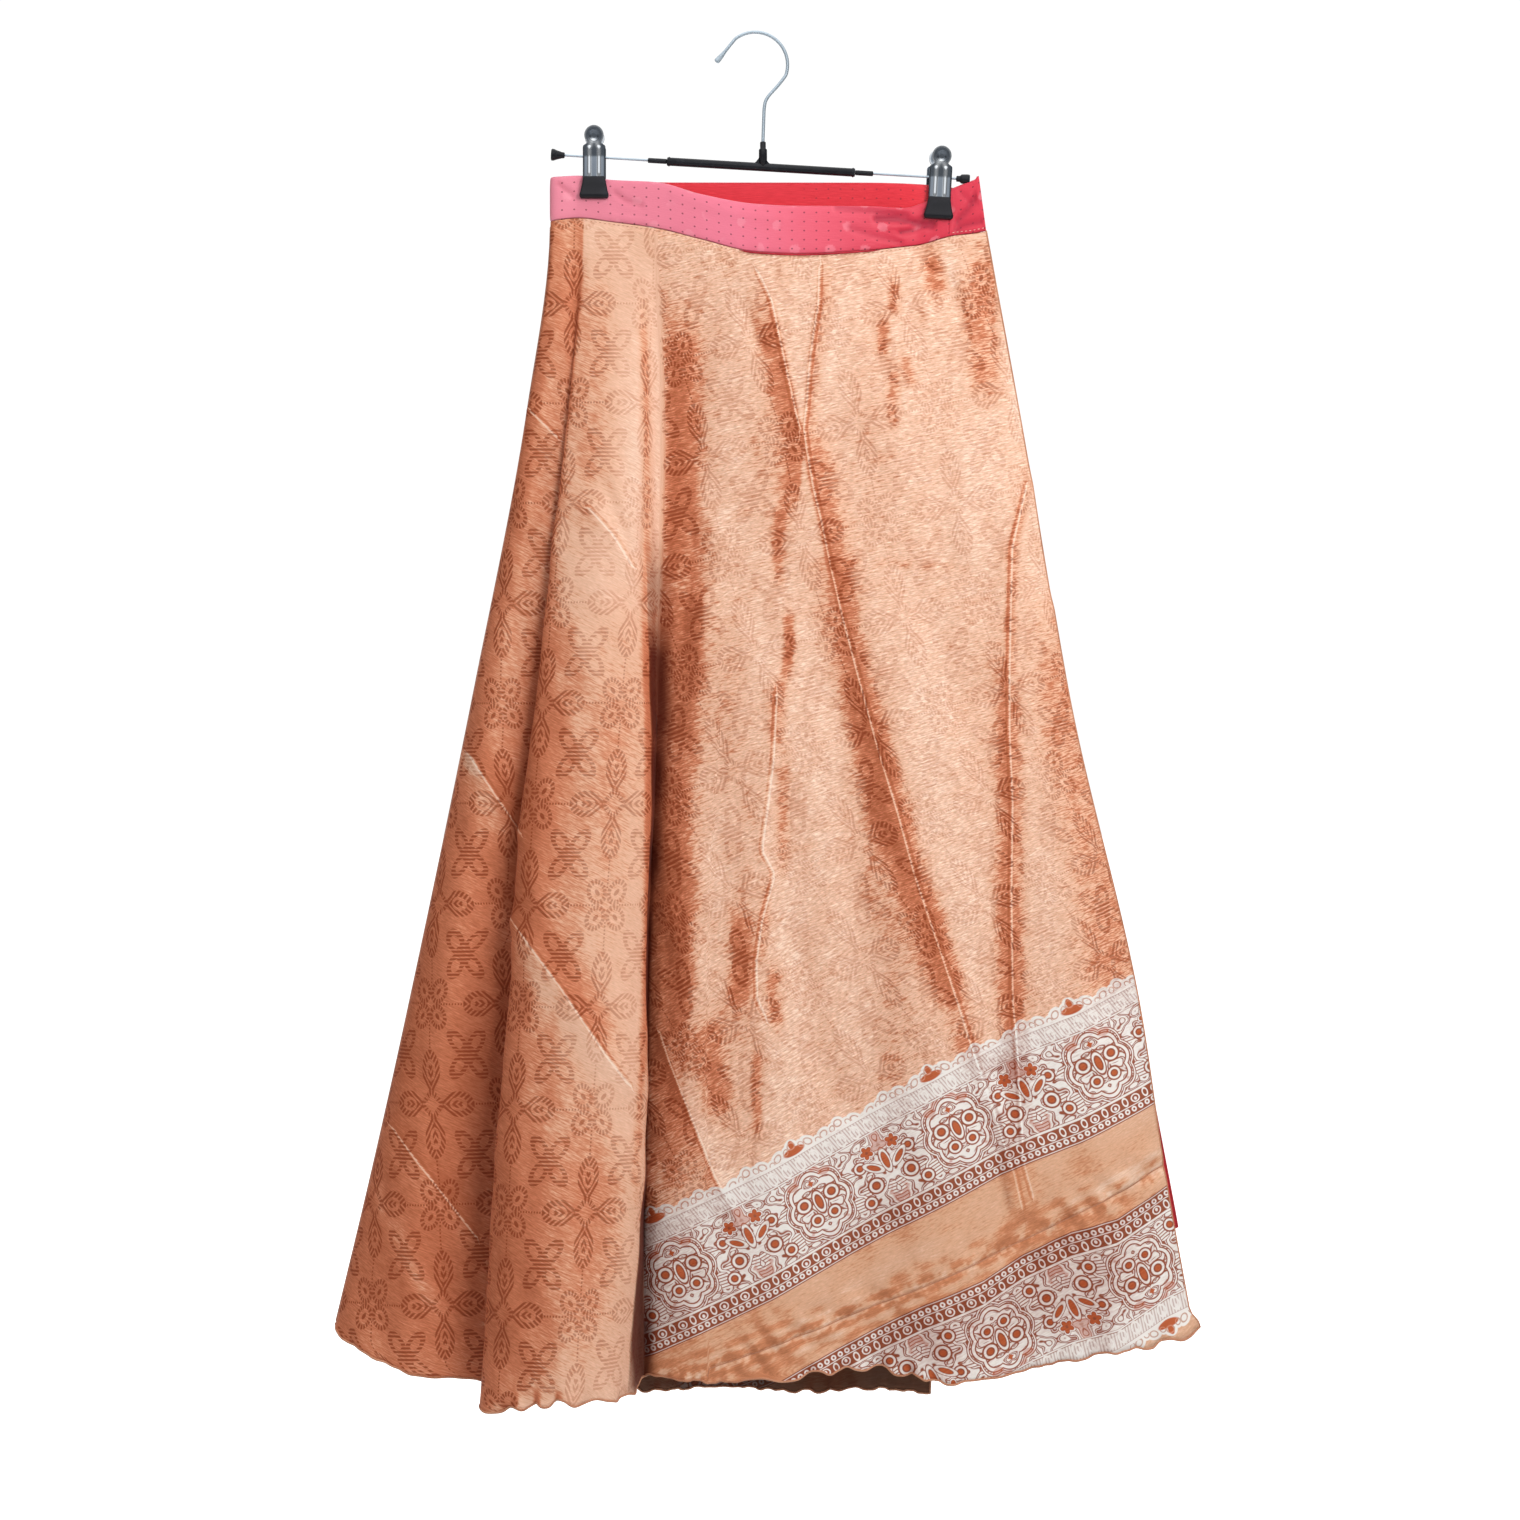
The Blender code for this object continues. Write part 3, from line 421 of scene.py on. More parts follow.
def buildLattice():
    # dashed stars, pods, clovers and four-petal flowers, drawn in one eighth of the repeat
    (across, down), result = group("lattice print", ("Across", "Down"), ("Ink",))
    cell, tooth, diagonal = lattice["cell"], lattice["tooth"], lattice["diagonal"]
    x, y = across.do("PINGPONG", cell), (down * lattice["squash"]).do("PINGPONG", cell)
    over = (x + y - cell).do("MAXIMUM", 0.0)
    x, y = x - over, y - over
    p, q = x.do("MAXIMUM", y), x.do("MINIMUM", y)
    slant = (p * 0.57 - q * 0.82).teeth(tooth, 0.5, 0.58)
    level = down.teeth(tooth * 1.05, 0.5, 0.58)
    spokes = (q.do("ARCTAN2", p) * (9 / math.pi)).teeth(1.0, 0.3, 0.6)
    starP, starQ = ((way * (1 / 9)).do("POWER", 0.75) for way in (p, q))
    star = (starP + starQ).ring(1.08, 0.24, 0.1) * spokes
    pod = oval(p, q, (20.5, 0), (9.4, 6.0)).ring(1.0, 0.3, 0.07) * slant
    seed = oval(p, q, (19.5, 0), (4.6, 2.2)).below(1.0, 0.2) * slant
    dots = q.below(0.6) * p.teeth(2.2) * p.ring(41.0, 10.0)
    aside, away = (p + q - cell) * -diagonal, (p - q) * diagonal
    lobeWay = (p * -1 + q + cell) * diagonal
    curl = (aside.do("ARCTAN2", lobeWay - 10.8) * (8 / math.pi)).teeth(1.0, 0.3, 0.6)
    lobe = oval(lobeWay, aside, (10.8, 0), (6.9, 5.7)).ring(0.98, 0.24, 0.07) * curl
    lobeSeed = oval(lobeWay, aside, (10.5, 0), (2.4, 1.3)).below(1.0, 0.3)
    knot = reach(p - cell, q).ring(2.6, 0.7, 0.4) * spokes
    along, off = aside.do("MAXIMUM", away), aside.do("MINIMUM", away)
    petal = oval(along, off, (10.0, 0), (7.4, 4.1)).ring(1.0, 0.34, 0.08)
    petal = petal.either(along.below(6.0) * off.below(1.6)) * level
    ink = star.either(pod).either(seed).either(dots).either(knot)
    give(result, ink.either(lobe).either(lobeSeed).either(petal))


# millimetres along the border and up from its lower edge
border = {"repeat": 57.5, "middle": 45.5}


def laid(base, shape, halo):
    # a light shape laid on the line work, with a dark halo round it
    return (base * (halo * -1 + 1)).either(shape)


def buildBorder():
    # a traditional sari border of this skirt's own: medallions and sprays between rows of dots,
    # buds and lace
    (a, h), result = group("border print", ("Along", "Height"), ("Cover", "White", "Rust"))
    m = a.do("PINGPONG", border["repeat"])
    k, n = h - border["middle"], m * -1 + border["repeat"]
    swirl = noise(packed(m * 0.062, k * 0.07, 4.0), 1.0, 1.0)
    hatched = noise(packed(m * 0.05, k * 0.06, 11.0), 1.0, 0.0).above(0.5, 0.02)
    contour = (swirl * 12).do("PINGPONG", 0.5).above(0.13, 0.18)
    level = (k + m * 0.12).do("PINGPONG", 1.15).above(0.36, 0.4)
    white = contour * (hatched * -1 + 1) + level * hatched
    white = laid(white, swirl.ring(0.5, 0.036, 0.012), swirl.ring(0.5, 0.058, 0.012))
    scallop = (k.do("ARCTAN2", m) * 4).do("COSINE").do("ABSOLUTE")
    rim = reach(m, k * 0.93) - (scallop * 3.2 + 19.5)
    for at, wide, halo in ((0.0, 1.1, 2.1), (4.0, 0.5, 1.2)):
        white = laid(white, rim.ring(at, wide), rim.ring(at, halo))
    rust = None
    for way, at, wide in (
        (m, (11.5, 4.5), 5.2),
        (m, (7.2, -10.0), 4.4),
        (n, (14.5, -9.0), 5.2),
        (n, (23.5, -19.0), 4.4),
        (n, (20, 8), 4.2),
    ):
        eye = oval(way, k, at, (wide, wide * 0.94))
        white = laid(white, eye.ring(0.85, 0.18, 0.1), eye.below(1.3, 0.1))
        dot = eye.below(0.42, 0.12)
        rust = dot if rust is None else rust.either(dot)
    leafWay, leafOff = n * 0.8 + k * 0.6, k * 0.8 - n * 0.6
    for bud, at, wide, soft, halo, heart in (
        (oval(m, k, (0, 2.0), (3.9, 8.0)), 0.9, 0.14, 0.08, 1.25, 0.55),
        (oval(leafWay, leafOff, (10.5, -3.5), (7.5, 2.8)), 0.95, 0.2, 0.12, 1.3, 0.62),
        (oval(n, k, (0, 5.0), (3.2, 8.4)), 0.95, 0.16, 0.1, 1.25, 0.7),
    ):
        white = laid(white, bud.ring(at, wide, soft), bud.below(halo, 0.1))
        rust = rust.either(bud.below(heart, 0.15))
    flowerX, flowerY = n - 10.5, k - 16.0
    petals = (flowerY.do("ARCTAN2", flowerX) * 2.5).do("COSINE").do("ABSOLUTE") * 2.2 + 2.6
    flower = reach(flowerX, flowerY)
    white = laid(white, (flower - petals).ring(0.9, 0.5), (flower - petals).below(1.8))
    rust = rust.either((flower - petals).below(0.0) * flower.above(1.1))
    star = m.do("POWER", 0.6) + (k - 17.0).do("ABSOLUTE").do("POWER", 0.6)
    rust = rust.either(star.below(2.1, 0.3)).either((swirl - 0.63).above(0.0, 0.02) * 0.5)
    main = h.ring(45.4, 27.4)
    white, rust = white * main, rust * main
    dots = oval(a.centred(5.6), h, (0, 4.9), (1.8, 1.8)).ring(0.8, 0.34, 0.2)
    potA, potB = a.centred(17), (a + 8.5).centred(17)
    pots = oval(potA, h, (0, 11.8), (3.1, 2.7)).ring(1.0, 0.17, 0.1)
    pots = pots.either(oval(potA, h, (0, 11.4), (1.1, 1.3)).below(1.0, 0.3))
    pots = pots.either(oval(potB, h, (0, 12.2), (1.9, 2.9)).ring(1.0, 0.25, 0.15))
    lines = h.ring(1.3, 0.3)
    for at, wide in ((7.7, 0.35), (16.8, 0.8), (73.6, 0.55)):
        lines = lines.either(h.ring(at, wide))
    tulip = a.centred(11.5)
    tulips = oval(tulip, h, (0, 79.5), (3.2, 4.6)).ring(1.0, 0.2, 0.1)
    tulips = tulips.either(oval(tulip, h, (0, 82.0), (1.2, 2.4)).below(1.0, 0.3)) * h.ring(80, 6)
    rail = ((a + h * 0.25).teeth(2.3, 0.4, 0.6) * 0.45 + 0.5) * h.ring(80.2, 5.6)
    short, long = ((a * (2 * math.pi / run)).do("COSINE") for run in (38.3, 115))
    edge = h - (short * 2.0 + long * 1.8)
    curls = oval(a.centred(12.8), edge, (0, 91.2), (5.6, 5.0))
    curls = curls.do("MINIMUM", oval((a + 5.4).centred(12.8), edge, (0, 89.8), (3.9, 4.2)))
    holes = curls.ring(0.5, 0.09, 0.1) * h.above(88.5)
    sprig = a.centred(115)
    leafed = oval(sprig, h, (0, 90.5), (8.5, 3.0)).below(1.0, 0.2)
    leafed = leafed.either(oval(sprig, h, (0, 95.5), (2.2, 3.4)).below(1.0, 0.2))
    lace = h.above(86.0) * (holes * -0.7 + 1)
    white = white.either(pots).either(lines).either(dots).either(tulips).either(rail).either(lace)
    cover = h.above(0.2) * curls.below(1.0, 0.1).either(edge.below(90.0, 0.3)) * (holes * -0.4 + 1)
    give(result, cover, white, rust.either(leafed))


def buildWeave():
    # a slubbed satin: runs that shine unevenly along the weft, and a fine crossed ground
    (across, down), result = group("satin weave", ("Across", "Down"), ("Streak", "Slub", "Rib"))
    streak = noise(packed(across * 0.13, down * 0.9), 1.0, 3.0)
    slub = noise(packed(across * 0.045, down * 0.14, 7.0), 1.0, 2.0)
    rib = noise(packed(across * 0.32 + down * 0.1, down * 1.1, 3.0), 1.0, 2.0)
    give(result, streak, slub, rib)


buildLattice()
buildBorder()
buildWeave()

# print inks, and the colours the satin paints in as light and shade: a lit ink, shade on the
# border, the reverse side in shade and the valleys' shade
inksAndPaintedLight = {
    "rust": paint(138, 60, 32),
    "paintedLitInk": paint(180, 88, 46),
    "tan": paint(204, 150, 108),
    "brown": paint(150, 76, 52),
    "white": paint(242, 237, 232),
    "rustFill": paint(190, 92, 52),
    "paintedShading": paint(176, 112, 88),
    "inside": paint(76, 40, 27),
    "deep": paint(82, 26, 16),
}
# the satin's ground colour by its painted sheen and shade, from painted shade at 0 to painted
# highlight at 1
satinPaintedLightStops = (
    (0.0, paint(180, 100, 68)),
    (0.28, paint(206, 124, 90)),
    (0.40, paint(217, 146, 112)),
    (0.52, paint(230, 179, 149)),
    (0.74, paint(236, 190, 163)),
    (1.0, paint(248, 218, 197)),
)
# how far each part of the weave throws the painted sheen and shade, and then the tone, either way
satinLook = {"streak": 1.15, "slub": 0.35, "rib": 0.4, "ribTone": 0.5, "streakTone": 0.35}


def satinFinish(name):
    made, tree, shader = finish(
        name, 0.4, Sheen_Weight=0.02, Sheen_Roughness=0.4, Specular_IOR_Level=0.08
    )
    look = satinLook
    bordered, printed, lustre, deep, inner, fold, foldNear = (
        valueOf(tree, label)
        for label in ("bordered", "printed", "lustre", "deep", "inner", "fold", "foldNear")
    )
    across, down = uvOf(tree, "print")
    leaning = down + across * (bordered * -0.45 + 0.45)
    streak, slub, rib = grouped(tree, "satin weave", across, leaning)
    streakWay, slubWay, ribWay = streak - 0.5, slub - 0.5, rib - 0.5
    lively = bordered * (printed * 0.45 + 0.1) + 0.55
    thrown = streakWay * look["streak"] + slubWay * look["slub"] + ribWay * look["rib"]
    # a painted pale line along each pressed edge, and painted shade beside it on its dark side
    pressed = (fold + streakWay * 1.5).ring(0.3, 0.6, 0.6) * 0.42
    pressed = pressed - fold.ring(-2.0, 0.8, 0.9) * 0.22
    # painted sheen and shade, made ragged by the weave, with the painted marks at pressed edges
    ragged = lustre + thrown * lively + pressed * foldNear
    ground = mixed(printed * -0.4 + 0.4, ramp(ragged, satinPaintedLightStops), inksAndPaintedLight["tan"])
    grain = (ribWay * look["ribTone"] + streakWay * look["streakTone"]) * lively + 1.0
    ground = mixed(1.0, ground, packed(grain, grain, grain), "MULTIPLY")
    (ink,) = grouped(tree, "lattice print", across, down)
    # the lattice print shows less under the painted highlight and more in the painted shade
    paintedShading = lustre.do("MULTIPLY_ADD", -1.3, 1.2).do("MINIMUM", 0.8).do("MAXIMUM", 0.29)
    # the lattice ink is painted lighter under the painted highlight and a darker rust in the
    # painted shade
    litAndShadedInk = mixed(lustre.do("MULTIPLY_ADD", 3.0, -1.0, clamp=True), inksAndPaintedLight["rust"], inksAndPaintedLight["paintedLitInk"])
    ground = mixed(ink * (paintedShading * printed), ground, litAndShadedInk)
    cover, white, rust = grouped(tree, "border print", *uvOf(tree, "border"))
    paper = mixed(rust, mixed(white, inksAndPaintedLight["brown"], inksAndPaintedLight["white"]), inksAndPaintedLight["rustFill"])
    # the border print is darkened with painted shade where the satin's painted sheen is low
    shaded = ragged.do("MULTIPLY_ADD", -1.0, 0.66, clamp=True)
    paper = mixed(shaded, paper, inksAndPaintedLight["paintedShading"], "MULTIPLY")
    colour = mixed(cover * bordered * 0.95, ground, paper)
    # painted shade in the valleys, and the reverse side darker: partly its duller face, mostly
    # painted shade inside the skirt
    colour = mixed(inner * 0.88, mixed(deep, colour, inksAndPaintedLight["deep"]), inksAndPaintedLight["inside"])
    join(colour, shader.inputs["Base Color"])
    join(streak * -0.25 + inner * 0.2 + deep * 0.35 + 0.56, shader.inputs["Roughness"])
    bumped(shader, streak * 0.6 + slub * 0.3 + rib * 0.5, 0.25, 0.0004)
    return made


def plainFinish(name, low, high, roughness, grain=900.0, **fixed):
    # plain woven cloth or thread in two near colours
    made, tree, shader = finish(name, roughness, **fixed)
    place = placeOf(tree)
    fine, broad = noise(place, grain, 2.0), noise(place, 28.0, 2.0)
    stops = ((0.32, paint(*low)), (0.68, paint(*high)))
    join(ramp(fine * 0.45 + broad * 0.55, stops), shader.inputs["Base Color"])
    join(fine * 0.2 + (roughness - 0.1), shader.inputs["Roughness"])
    bumped(shader, fine, 0.3, 0.0004)
    return made


bandStops = (
    (0.0, paint(232, 136, 155)),
    (0.42, paint(237, 121, 145)),
    (0.62, paint(229, 89, 110)),
    (0.79, paint(212, 50, 72)),
)
# millimetres between the band's pin dots and between its rosettes, and each one's half sizes
bandWeave = {"pins": (9.0, 6.7), "pin": (0.66, 0.58), "rosettes": (26, 17), "rosette": 3.7}


def bandFinish(name, shaded):
    # shaded pink to red in front, with paler woven rosettes, rows of dark pin dots and painted
    # shade in its wrinkles
    made, tree, shader = finish(name, 0.42, Sheen_Weight=0.1, Sheen_Roughness=0.4)
    across, down = uvOf(tree, "print")
    threads = noise(packed(across * 0.12, down * 1.6), 1.0, 3.0)
    (pinsAcross, pinsDown), (setsAcross, setsDown) = bandWeave["pins"], bandWeave["rosettes"]
    dot = (across.centred(pinsAcross), (down + 1.5).centred(pinsDown))
    pin = oval(*dot, (0, 0), bandWeave["pin"]).below(1.0, 0.4)
    if shaded:
        tone = ramp(across * (1 / 325) + (threads - 0.5) * 0.10, bandStops)
        shifted = across + (down * (1 / setsDown) + 0.6).do("FLOOR") * (setsAcross / 2)
        rosette = reach(shifted.centred(setsAcross), (down + 1.7).centred(setsDown) * 1.1)
        ragged = rosette + (noise(packed(across, down), 0.55, 2.0) - 0.5) * 4.2
        kept = noise(packed(across, down), 0.05, 0.0).above(0.46, 0.08)
        woven = ragged.below(bandWeave["rosette"], 1.2) * kept
        marks = (
            (woven * 0.3, paint(248, 164, 178)),
            (pin * 0.8, paint(112, 16, 40)),
            (valueOf(tree, "shade") * 0.8, paint(158, 20, 52)),
        )
    else:
        tone = ramp(threads, ((0.3, paint(212, 34, 50)), (0.7, paint(230, 50, 64))))
        curl = oval(across, down, (74, 6), (4.4, 4.0)).ring(1.0, 0.1, 0.08)
        marks = (
            (curl * 0.7, paint(150, 20, 34)),
            (pin * across.above(190, 20) * 0.6, paint(112, 16, 34)),
        )
    for share, ink in marks:
        tone = mixed(share, tone, ink)
    join(tone, shader.inputs["Base Color"])
    join(threads * -0.2 + 0.52, shader.inputs["Roughness"])
    bumped(shader, threads + noise(placeOf(tree), 700.0, 1.0) * 0.5, 0.3, 0.0005)
    return made


def metalFinish(name, colour, roughness, streaky, glint=None):
    made, tree, shader = finish(name, roughness, Metallic=1.0)
    place = placeOf(tree)
    cloud, scratches = noise(place, 60.0, 2.0), noise(place, streaky, 3.0)
    darker = tuple(c * 0.9 for c in colour[:3]) + (1.0,)
    tone = ramp(cloud * 0.8 + scratches * 0.2, ((0.3, darker), (0.6, colour)))
    # the gleam is painted reflection: glints laid over the chrome's colour
    if glint:
        tone = mixed(valueOf(tree, "gleam"), tone, glint)
    join(tone, shader.inputs["Base Color"])
    join(scratches * 0.06 + (roughness - 0.03), shader.inputs["Roughness"])
    return made


def mouldedFinish(name, colour, roughness):
    made, tree, shader = finish(name, roughness, Specular_IOR_Level=0.35)
    place = placeOf(tree)
    grain, scuffs = noise(place, 1600.0, 2.0), noise(place, 90.0, 4.0)
    lighter = tuple(c * 1.8 + 0.004 for c in colour[:3]) + (1.0,)
    join(mixed(scuffs.above(0.6, 0.15) * 0.6, colour, lighter), shader.inputs["Base Color"])
    join(scuffs * 0.2 + (roughness - 0.1), shader.inputs["Roughness"])
    bumped(shader, grain + scuffs * 0.6, 0.12, 0.0002)
    return made


threadGrain = 1400.0
satin = satinFinish("skirt satin")
satinBack = satinFinish("skirt satin behind")
underRed = plainFinish("under layer red", (168, 26, 36), (214, 48, 58), 0.45, Sheen_Weight=0.1)
bandPink = bandFinish("band shaded", True)
bandRed = bandFinish("band red", False)
pipingRed = plainFinish("band piping", (150, 22, 36), (200, 44, 60), 0.5)
threadTan = plainFinish("hem thread", (168, 106, 74), (212, 152, 118), 0.6, threadGrain)
threadRed = plainFinish("red thread", (150, 24, 34), (210, 60, 66), 0.6, threadGrain)
threadPale = plainFinish("pale thread", (222, 190, 176), (246, 226, 214), 0.6, threadGrain)
hookSteel = metalFinish("hook steel", (0.66, 0.77, 0.86, 1.0), 0.5, 420.0)
# the clip chrome's dark base and its glints both stand in for what it mirrors: painted reflection
chromeDark, chromeGlint = (0.19, 0.22, 0.26, 1.0), (0.90, 0.94, 0.98, 1.0)
clipChrome = metalFinish("clip chrome", chromeDark, 0.2, 300.0, chromeGlint)
moulded = mouldedFinish("socket plastic", (0.006, 0.007, 0.010, 1.0), 0.34)
rubber = mouldedFinish("tip rubber", (0.006, 0.006, 0.009, 1.0), 0.36)
print("skirt: finishes ready")

made = {}


def keepPiece(name, data, finishUsed, slot, nodes):
    data.shade_smooth()
    data.materials.clear()
    data.materials.append(finishUsed)
    piece = bpy.data.objects.new(name, data)
    bpy.context.scene.collection.objects.link(piece)
    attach(piece, "root")
    if nodes:
        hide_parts(*nodes)
    made[name] = piece
    return piece


def meshOf(name, points, faces):
    data = bpy.data.meshes.new(name)
    data.from_pydata([tuple(p) for p in np.asarray(points) * mm], [], faces)
    data.validate()
    return data


def tube(count, around, flipped=False):
    # the faces of a stack of rings, closed at both ends
    faces = []
    for low in range(0, (count - 1) * around, around):
        for i in range(around):
            j = (i + 1) % around
            faces.append((low + i, low + j, low + around + j, low + around + i))
    last = (count - 1) * around
    faces += [tuple(reversed(range(around))), tuple(range(last, last + around))]
    return [face[::-1] for face in faces] if flipped else faces


def setValues(data, label, values):
    # a number for each point, which a material reads
    layerMade = data.attributes.new(label, "FLOAT", "POINT")
    layerMade.data.foreach_set("value", np.asarray(values, np.float32))


def setPlaces(data, label, places):
    # a UV map from each point's place in millimetres
    corner = np.zeros(len(data.loops), int)
    data.loops.foreach_get("vertex_index", corner)
    layerMade = data.uv_layers.new(name=label)
    layerMade.data.foreach_set("uv", (places[corner] * mm).astype(np.float32).ravel())


def holderOf(data):
    holder = bpy.data.objects.new("holder", data)
    bpy.context.scene.collection.objects.link(holder)
    return holder


def plainMesh(holder):
    # what a holder's modifier makes, as a mesh of its own; the holder goes
    graph = bpy.context.evaluated_depsgraph_get()
    plain = bpy.data.meshes.new_from_object(holder.evaluated_get(graph))
    bpy.data.objects.remove(holder, do_unlink=True)
    return plain


def shelled(data, thick):
    # the sheet with its thickness
    holder = holderOf(data)
    wall = holder.modifiers.new("wall", "SOLIDIFY")
    wall.thickness = thick * mm
    wall.offset = 0.0
    return plainMesh(holder)


def sheetFaces(rows):
    # a row may hold one point more between each two of the row above
    faces, a = [], 0
    for above, below in zip(rows, rows[1:]):
        b = a + len(above)
        for i in range(len(above) - 1):
            if len(above) == len(below):
                faces.append((a + i, b + i, b + i + 1, a + i + 1))
            else:
                left, middle, right = b + 2 * i, b + 2 * i + 1, b + 2 * i + 2
                faces.append((a + i, left, middle))
                faces.append((a + i, middle, a + i + 1))
                faces.append((a + i + 1, middle, right))
        a = b
    return faces


def sheetMesh(name, rows, values, side, thick=cloth):
    # a closed shell round rows of points
    data = meshOf(name, np.concatenate(rows), sheetFaces(rows))
    for label, value in values.items():
        value = np.concatenate(value)
        keep = setPlaces if value.ndim > 1 else setValues
        keep(data, label, value)
    solid = shelled(data, thick)
    places = np.zeros(len(solid.vertices) * 3)
    solid.vertices.foreach_get("co", places)
    places = places.reshape(2, -1, 3)
    firstInside = np.mean(places[0, :, 1] - places[1, :, 1]) * side > 0
    setValues(solid, "inner", np.repeat((1, 0) if firstInside else (0, 1), places.shape[1]))
    return solid


domeSteps = ((0.55, 0.84), (0.87, 0.5))  # shares of the radius: how far out, how wide


def sweep(points, radii, sides=8):
    # a wire with domed ends; radii is one size, or a width and depth for each point
    points = np.asarray(points, float)
    count = len(points)
    if np.ndim(radii) == 0:
        radii = np.full((count, 2), float(radii))
    way = np.gradient(points, axis=0)
    way /= np.linalg.norm(way, axis=1)[:, None]
    side = np.cross(way[0], (0, 1, 0))
    side /= np.linalg.norm(side)
    turn = np.linspace(0, 2 * math.pi, sides, endpoint=False)
    rings = []
    for i in range(count):
        side = side - way[i] * (side @ way[i])
        side /= np.linalg.norm(side)
        other = np.cross(way[i], side)
        spokes = np.outer(np.cos(turn), side) * radii[i][0]
        spokes += np.outer(np.sin(turn), other) * radii[i][1]
        rings.append((points[i], spokes, way[i]))
    for end, sign in ((0, -1), (-1, 1)):
        centre, spokes, heading = rings[end]
        thick = radii[end].mean()
        for lift, narrow in domeSteps:
            cap = (centre + heading * sign * thick * lift, spokes * narrow, heading)
            rings = [cap] + rings if end == 0 else rings + [cap]
    return np.concatenate([centre + spokes for centre, spokes, _ in rings]), tube(len(rings), sides)


def joined(parts):
    # several (vertices, faces) as one
    points, faces, start = [], [], 0
    for vertices, its in parts:
        points.append(np.asarray(vertices, float))
        faces += [tuple(start + i for i in face) for face in its]
        start += len(vertices)
    return np.concatenate(points), faces


def runOf(points):
    # how far along its line each point lies
    steps = np.linalg.norm(np.diff(points, axis=0), axis=1)
    return np.concatenate(([0.0], np.cumsum(steps)))


def evened(points, step):
    # the same line with points a step apart
    points = np.asarray(points, float)
    run = runOf(points)
    marks = np.linspace(0, run[-1], max(2, int(run[-1] / step) + 1))
    return np.column_stack([np.interp(marks, run, points[:, i]) for i in range(3)])


def buildStitcher():
    # thread dashes set along a line, leaning if asked
    tree = bpy.data.node_groups.new("stitches along a line", "GeometryNodeTree")
    sockets = {}
    for label, kind in (
        ("Geometry", "Geometry"),
        ("Spacing", "Float"),
        ("Size", "Vector"),
        ("Lean", "Vector"),
        ("Thread", "Material"),
    ):
        socketType = f"NodeSocket{kind}"
        socket = tree.interface.new_socket(label, in_out="INPUT", socket_type=socketType)
        sockets[label] = socket.identifier
    tree.interface.new_socket("Geometry", in_out="OUTPUT", socket_type="NodeSocketGeometry")
    nodes = {}
    for label, kind in (
        ("given", "NodeGroupInput"),
        ("result", "NodeGroupOutput"),
        ("line", "GeometryNodeMeshToCurve"),
        ("places", "GeometryNodeCurveToPoints"),
        ("bead", "GeometryNodeMeshIcoSphere"),
        ("turn", "FunctionNodeRotateRotation"),
        ("lean", "FunctionNodeEulerToRotation"),
        ("put", "GeometryNodeInstanceOnPoints"),
        ("real", "GeometryNodeRealizeInstances"),
        ("coat", "GeometryNodeSetMaterial"),
    ):
        nodes[label] = tree.nodes.new(kind)
    nodes["places"].mode = "LENGTH"
    nodes["bead"].inputs["Subdivisions"].default_value = 1
    nodes["turn"].rotation_space = "LOCAL"
    for start, output, end, plug in (
        ("given", "Geometry", "line", "Mesh"),
        ("line", "Curve", "places", "Curve"),
        ("given", "Spacing", "places", "Length"),
        ("places", "Points", "put", "Points"),
        ("bead", "Mesh", "put", "Instance"),
        ("places", "Rotation", "turn", "Rotation"),
        ("given", "Lean", "lean", "Euler"),
        ("lean", "Rotation", "turn", "Rotate By"),
        ("turn", "Rotation", "put", "Rotation"),
        ("given", "Size", "put", "Scale"),
        ("put", "Instances", "real", "Geometry"),
        ("real", "Geometry", "coat", "Geometry"),
        ("given", "Thread", "coat", "Material"),
        ("coat", "Geometry", "result", "Geometry"),
    ):
        tree.links.new(nodes[start].outputs[output], nodes[end].inputs[plug])
    return tree, sockets


stitcher, stitcherSockets = buildStitcher()


def stitched(name, lines, spacing, size, lean, thread, slot):
    # size is a stitch's half width, half height and half length
    points, edges = joined([(line, [(i, i + 1) for i in range(len(line) - 1)]) for line in lines])
    data = bpy.data.meshes.new(name)
    data.from_pydata([tuple(p) for p in points * mm], edges, [])
    holder = holderOf(data)
    run = holder.modifiers.new("stitches", "NODES")
    run.node_group = stitcher
    run[stitcherSockets["Spacing"]] = spacing * mm
    run[stitcherSockets["Size"]] = [s * mm for s in size]
    run[stitcherSockets["Lean"]] = lean
    run[stitcherSockets["Thread"]] = thread
    plain = plainMesh(holder)
    plain.name = name
    return keepPiece(name, plain, thread, slot, ())


# creases and sheen are placed on the front as (x, z) lines
middleCrease = (
    (1, -176), (12, -199), (23, -251), (31, -288), (34, -297), (32, -333), (29, -356),
    (23, -432), (26, -464), (16, -488), (13.6, -539), (10, -569), (5, -606), (14.5, -624),
    (5, -658), (1, -688), (1.5, -715), (8.7, -731),
)
longCrease = (
    (48, -173), (47, -203), (43, -227), (40, -252), (38.4, -277), (36.2, -294), (38.8, -312),
    (43.5, -339), (50.5, -368), (56, -396), (64, -430), (75, -472), (86, -513), (92, -535),
    (105, -577), (117.5, -623), (128, -655), (140, -690), (151, -723), (158.5, -747),
    (167, -772), (176, -797), (182, -817), (191, -844), (197, -870),
)
rightCrease = (
    (201, -336), (190, -382), (189, -420), (188, -471), (188, -521), (190, -572), (189, -635),
    (190, -717), (193, -750), (198, -837), (205, -861),
)
lowerCrease = ((-71, -741), (-64, -762), (-43, -813), (-29, -848), (-17, -868), (-9, -885))
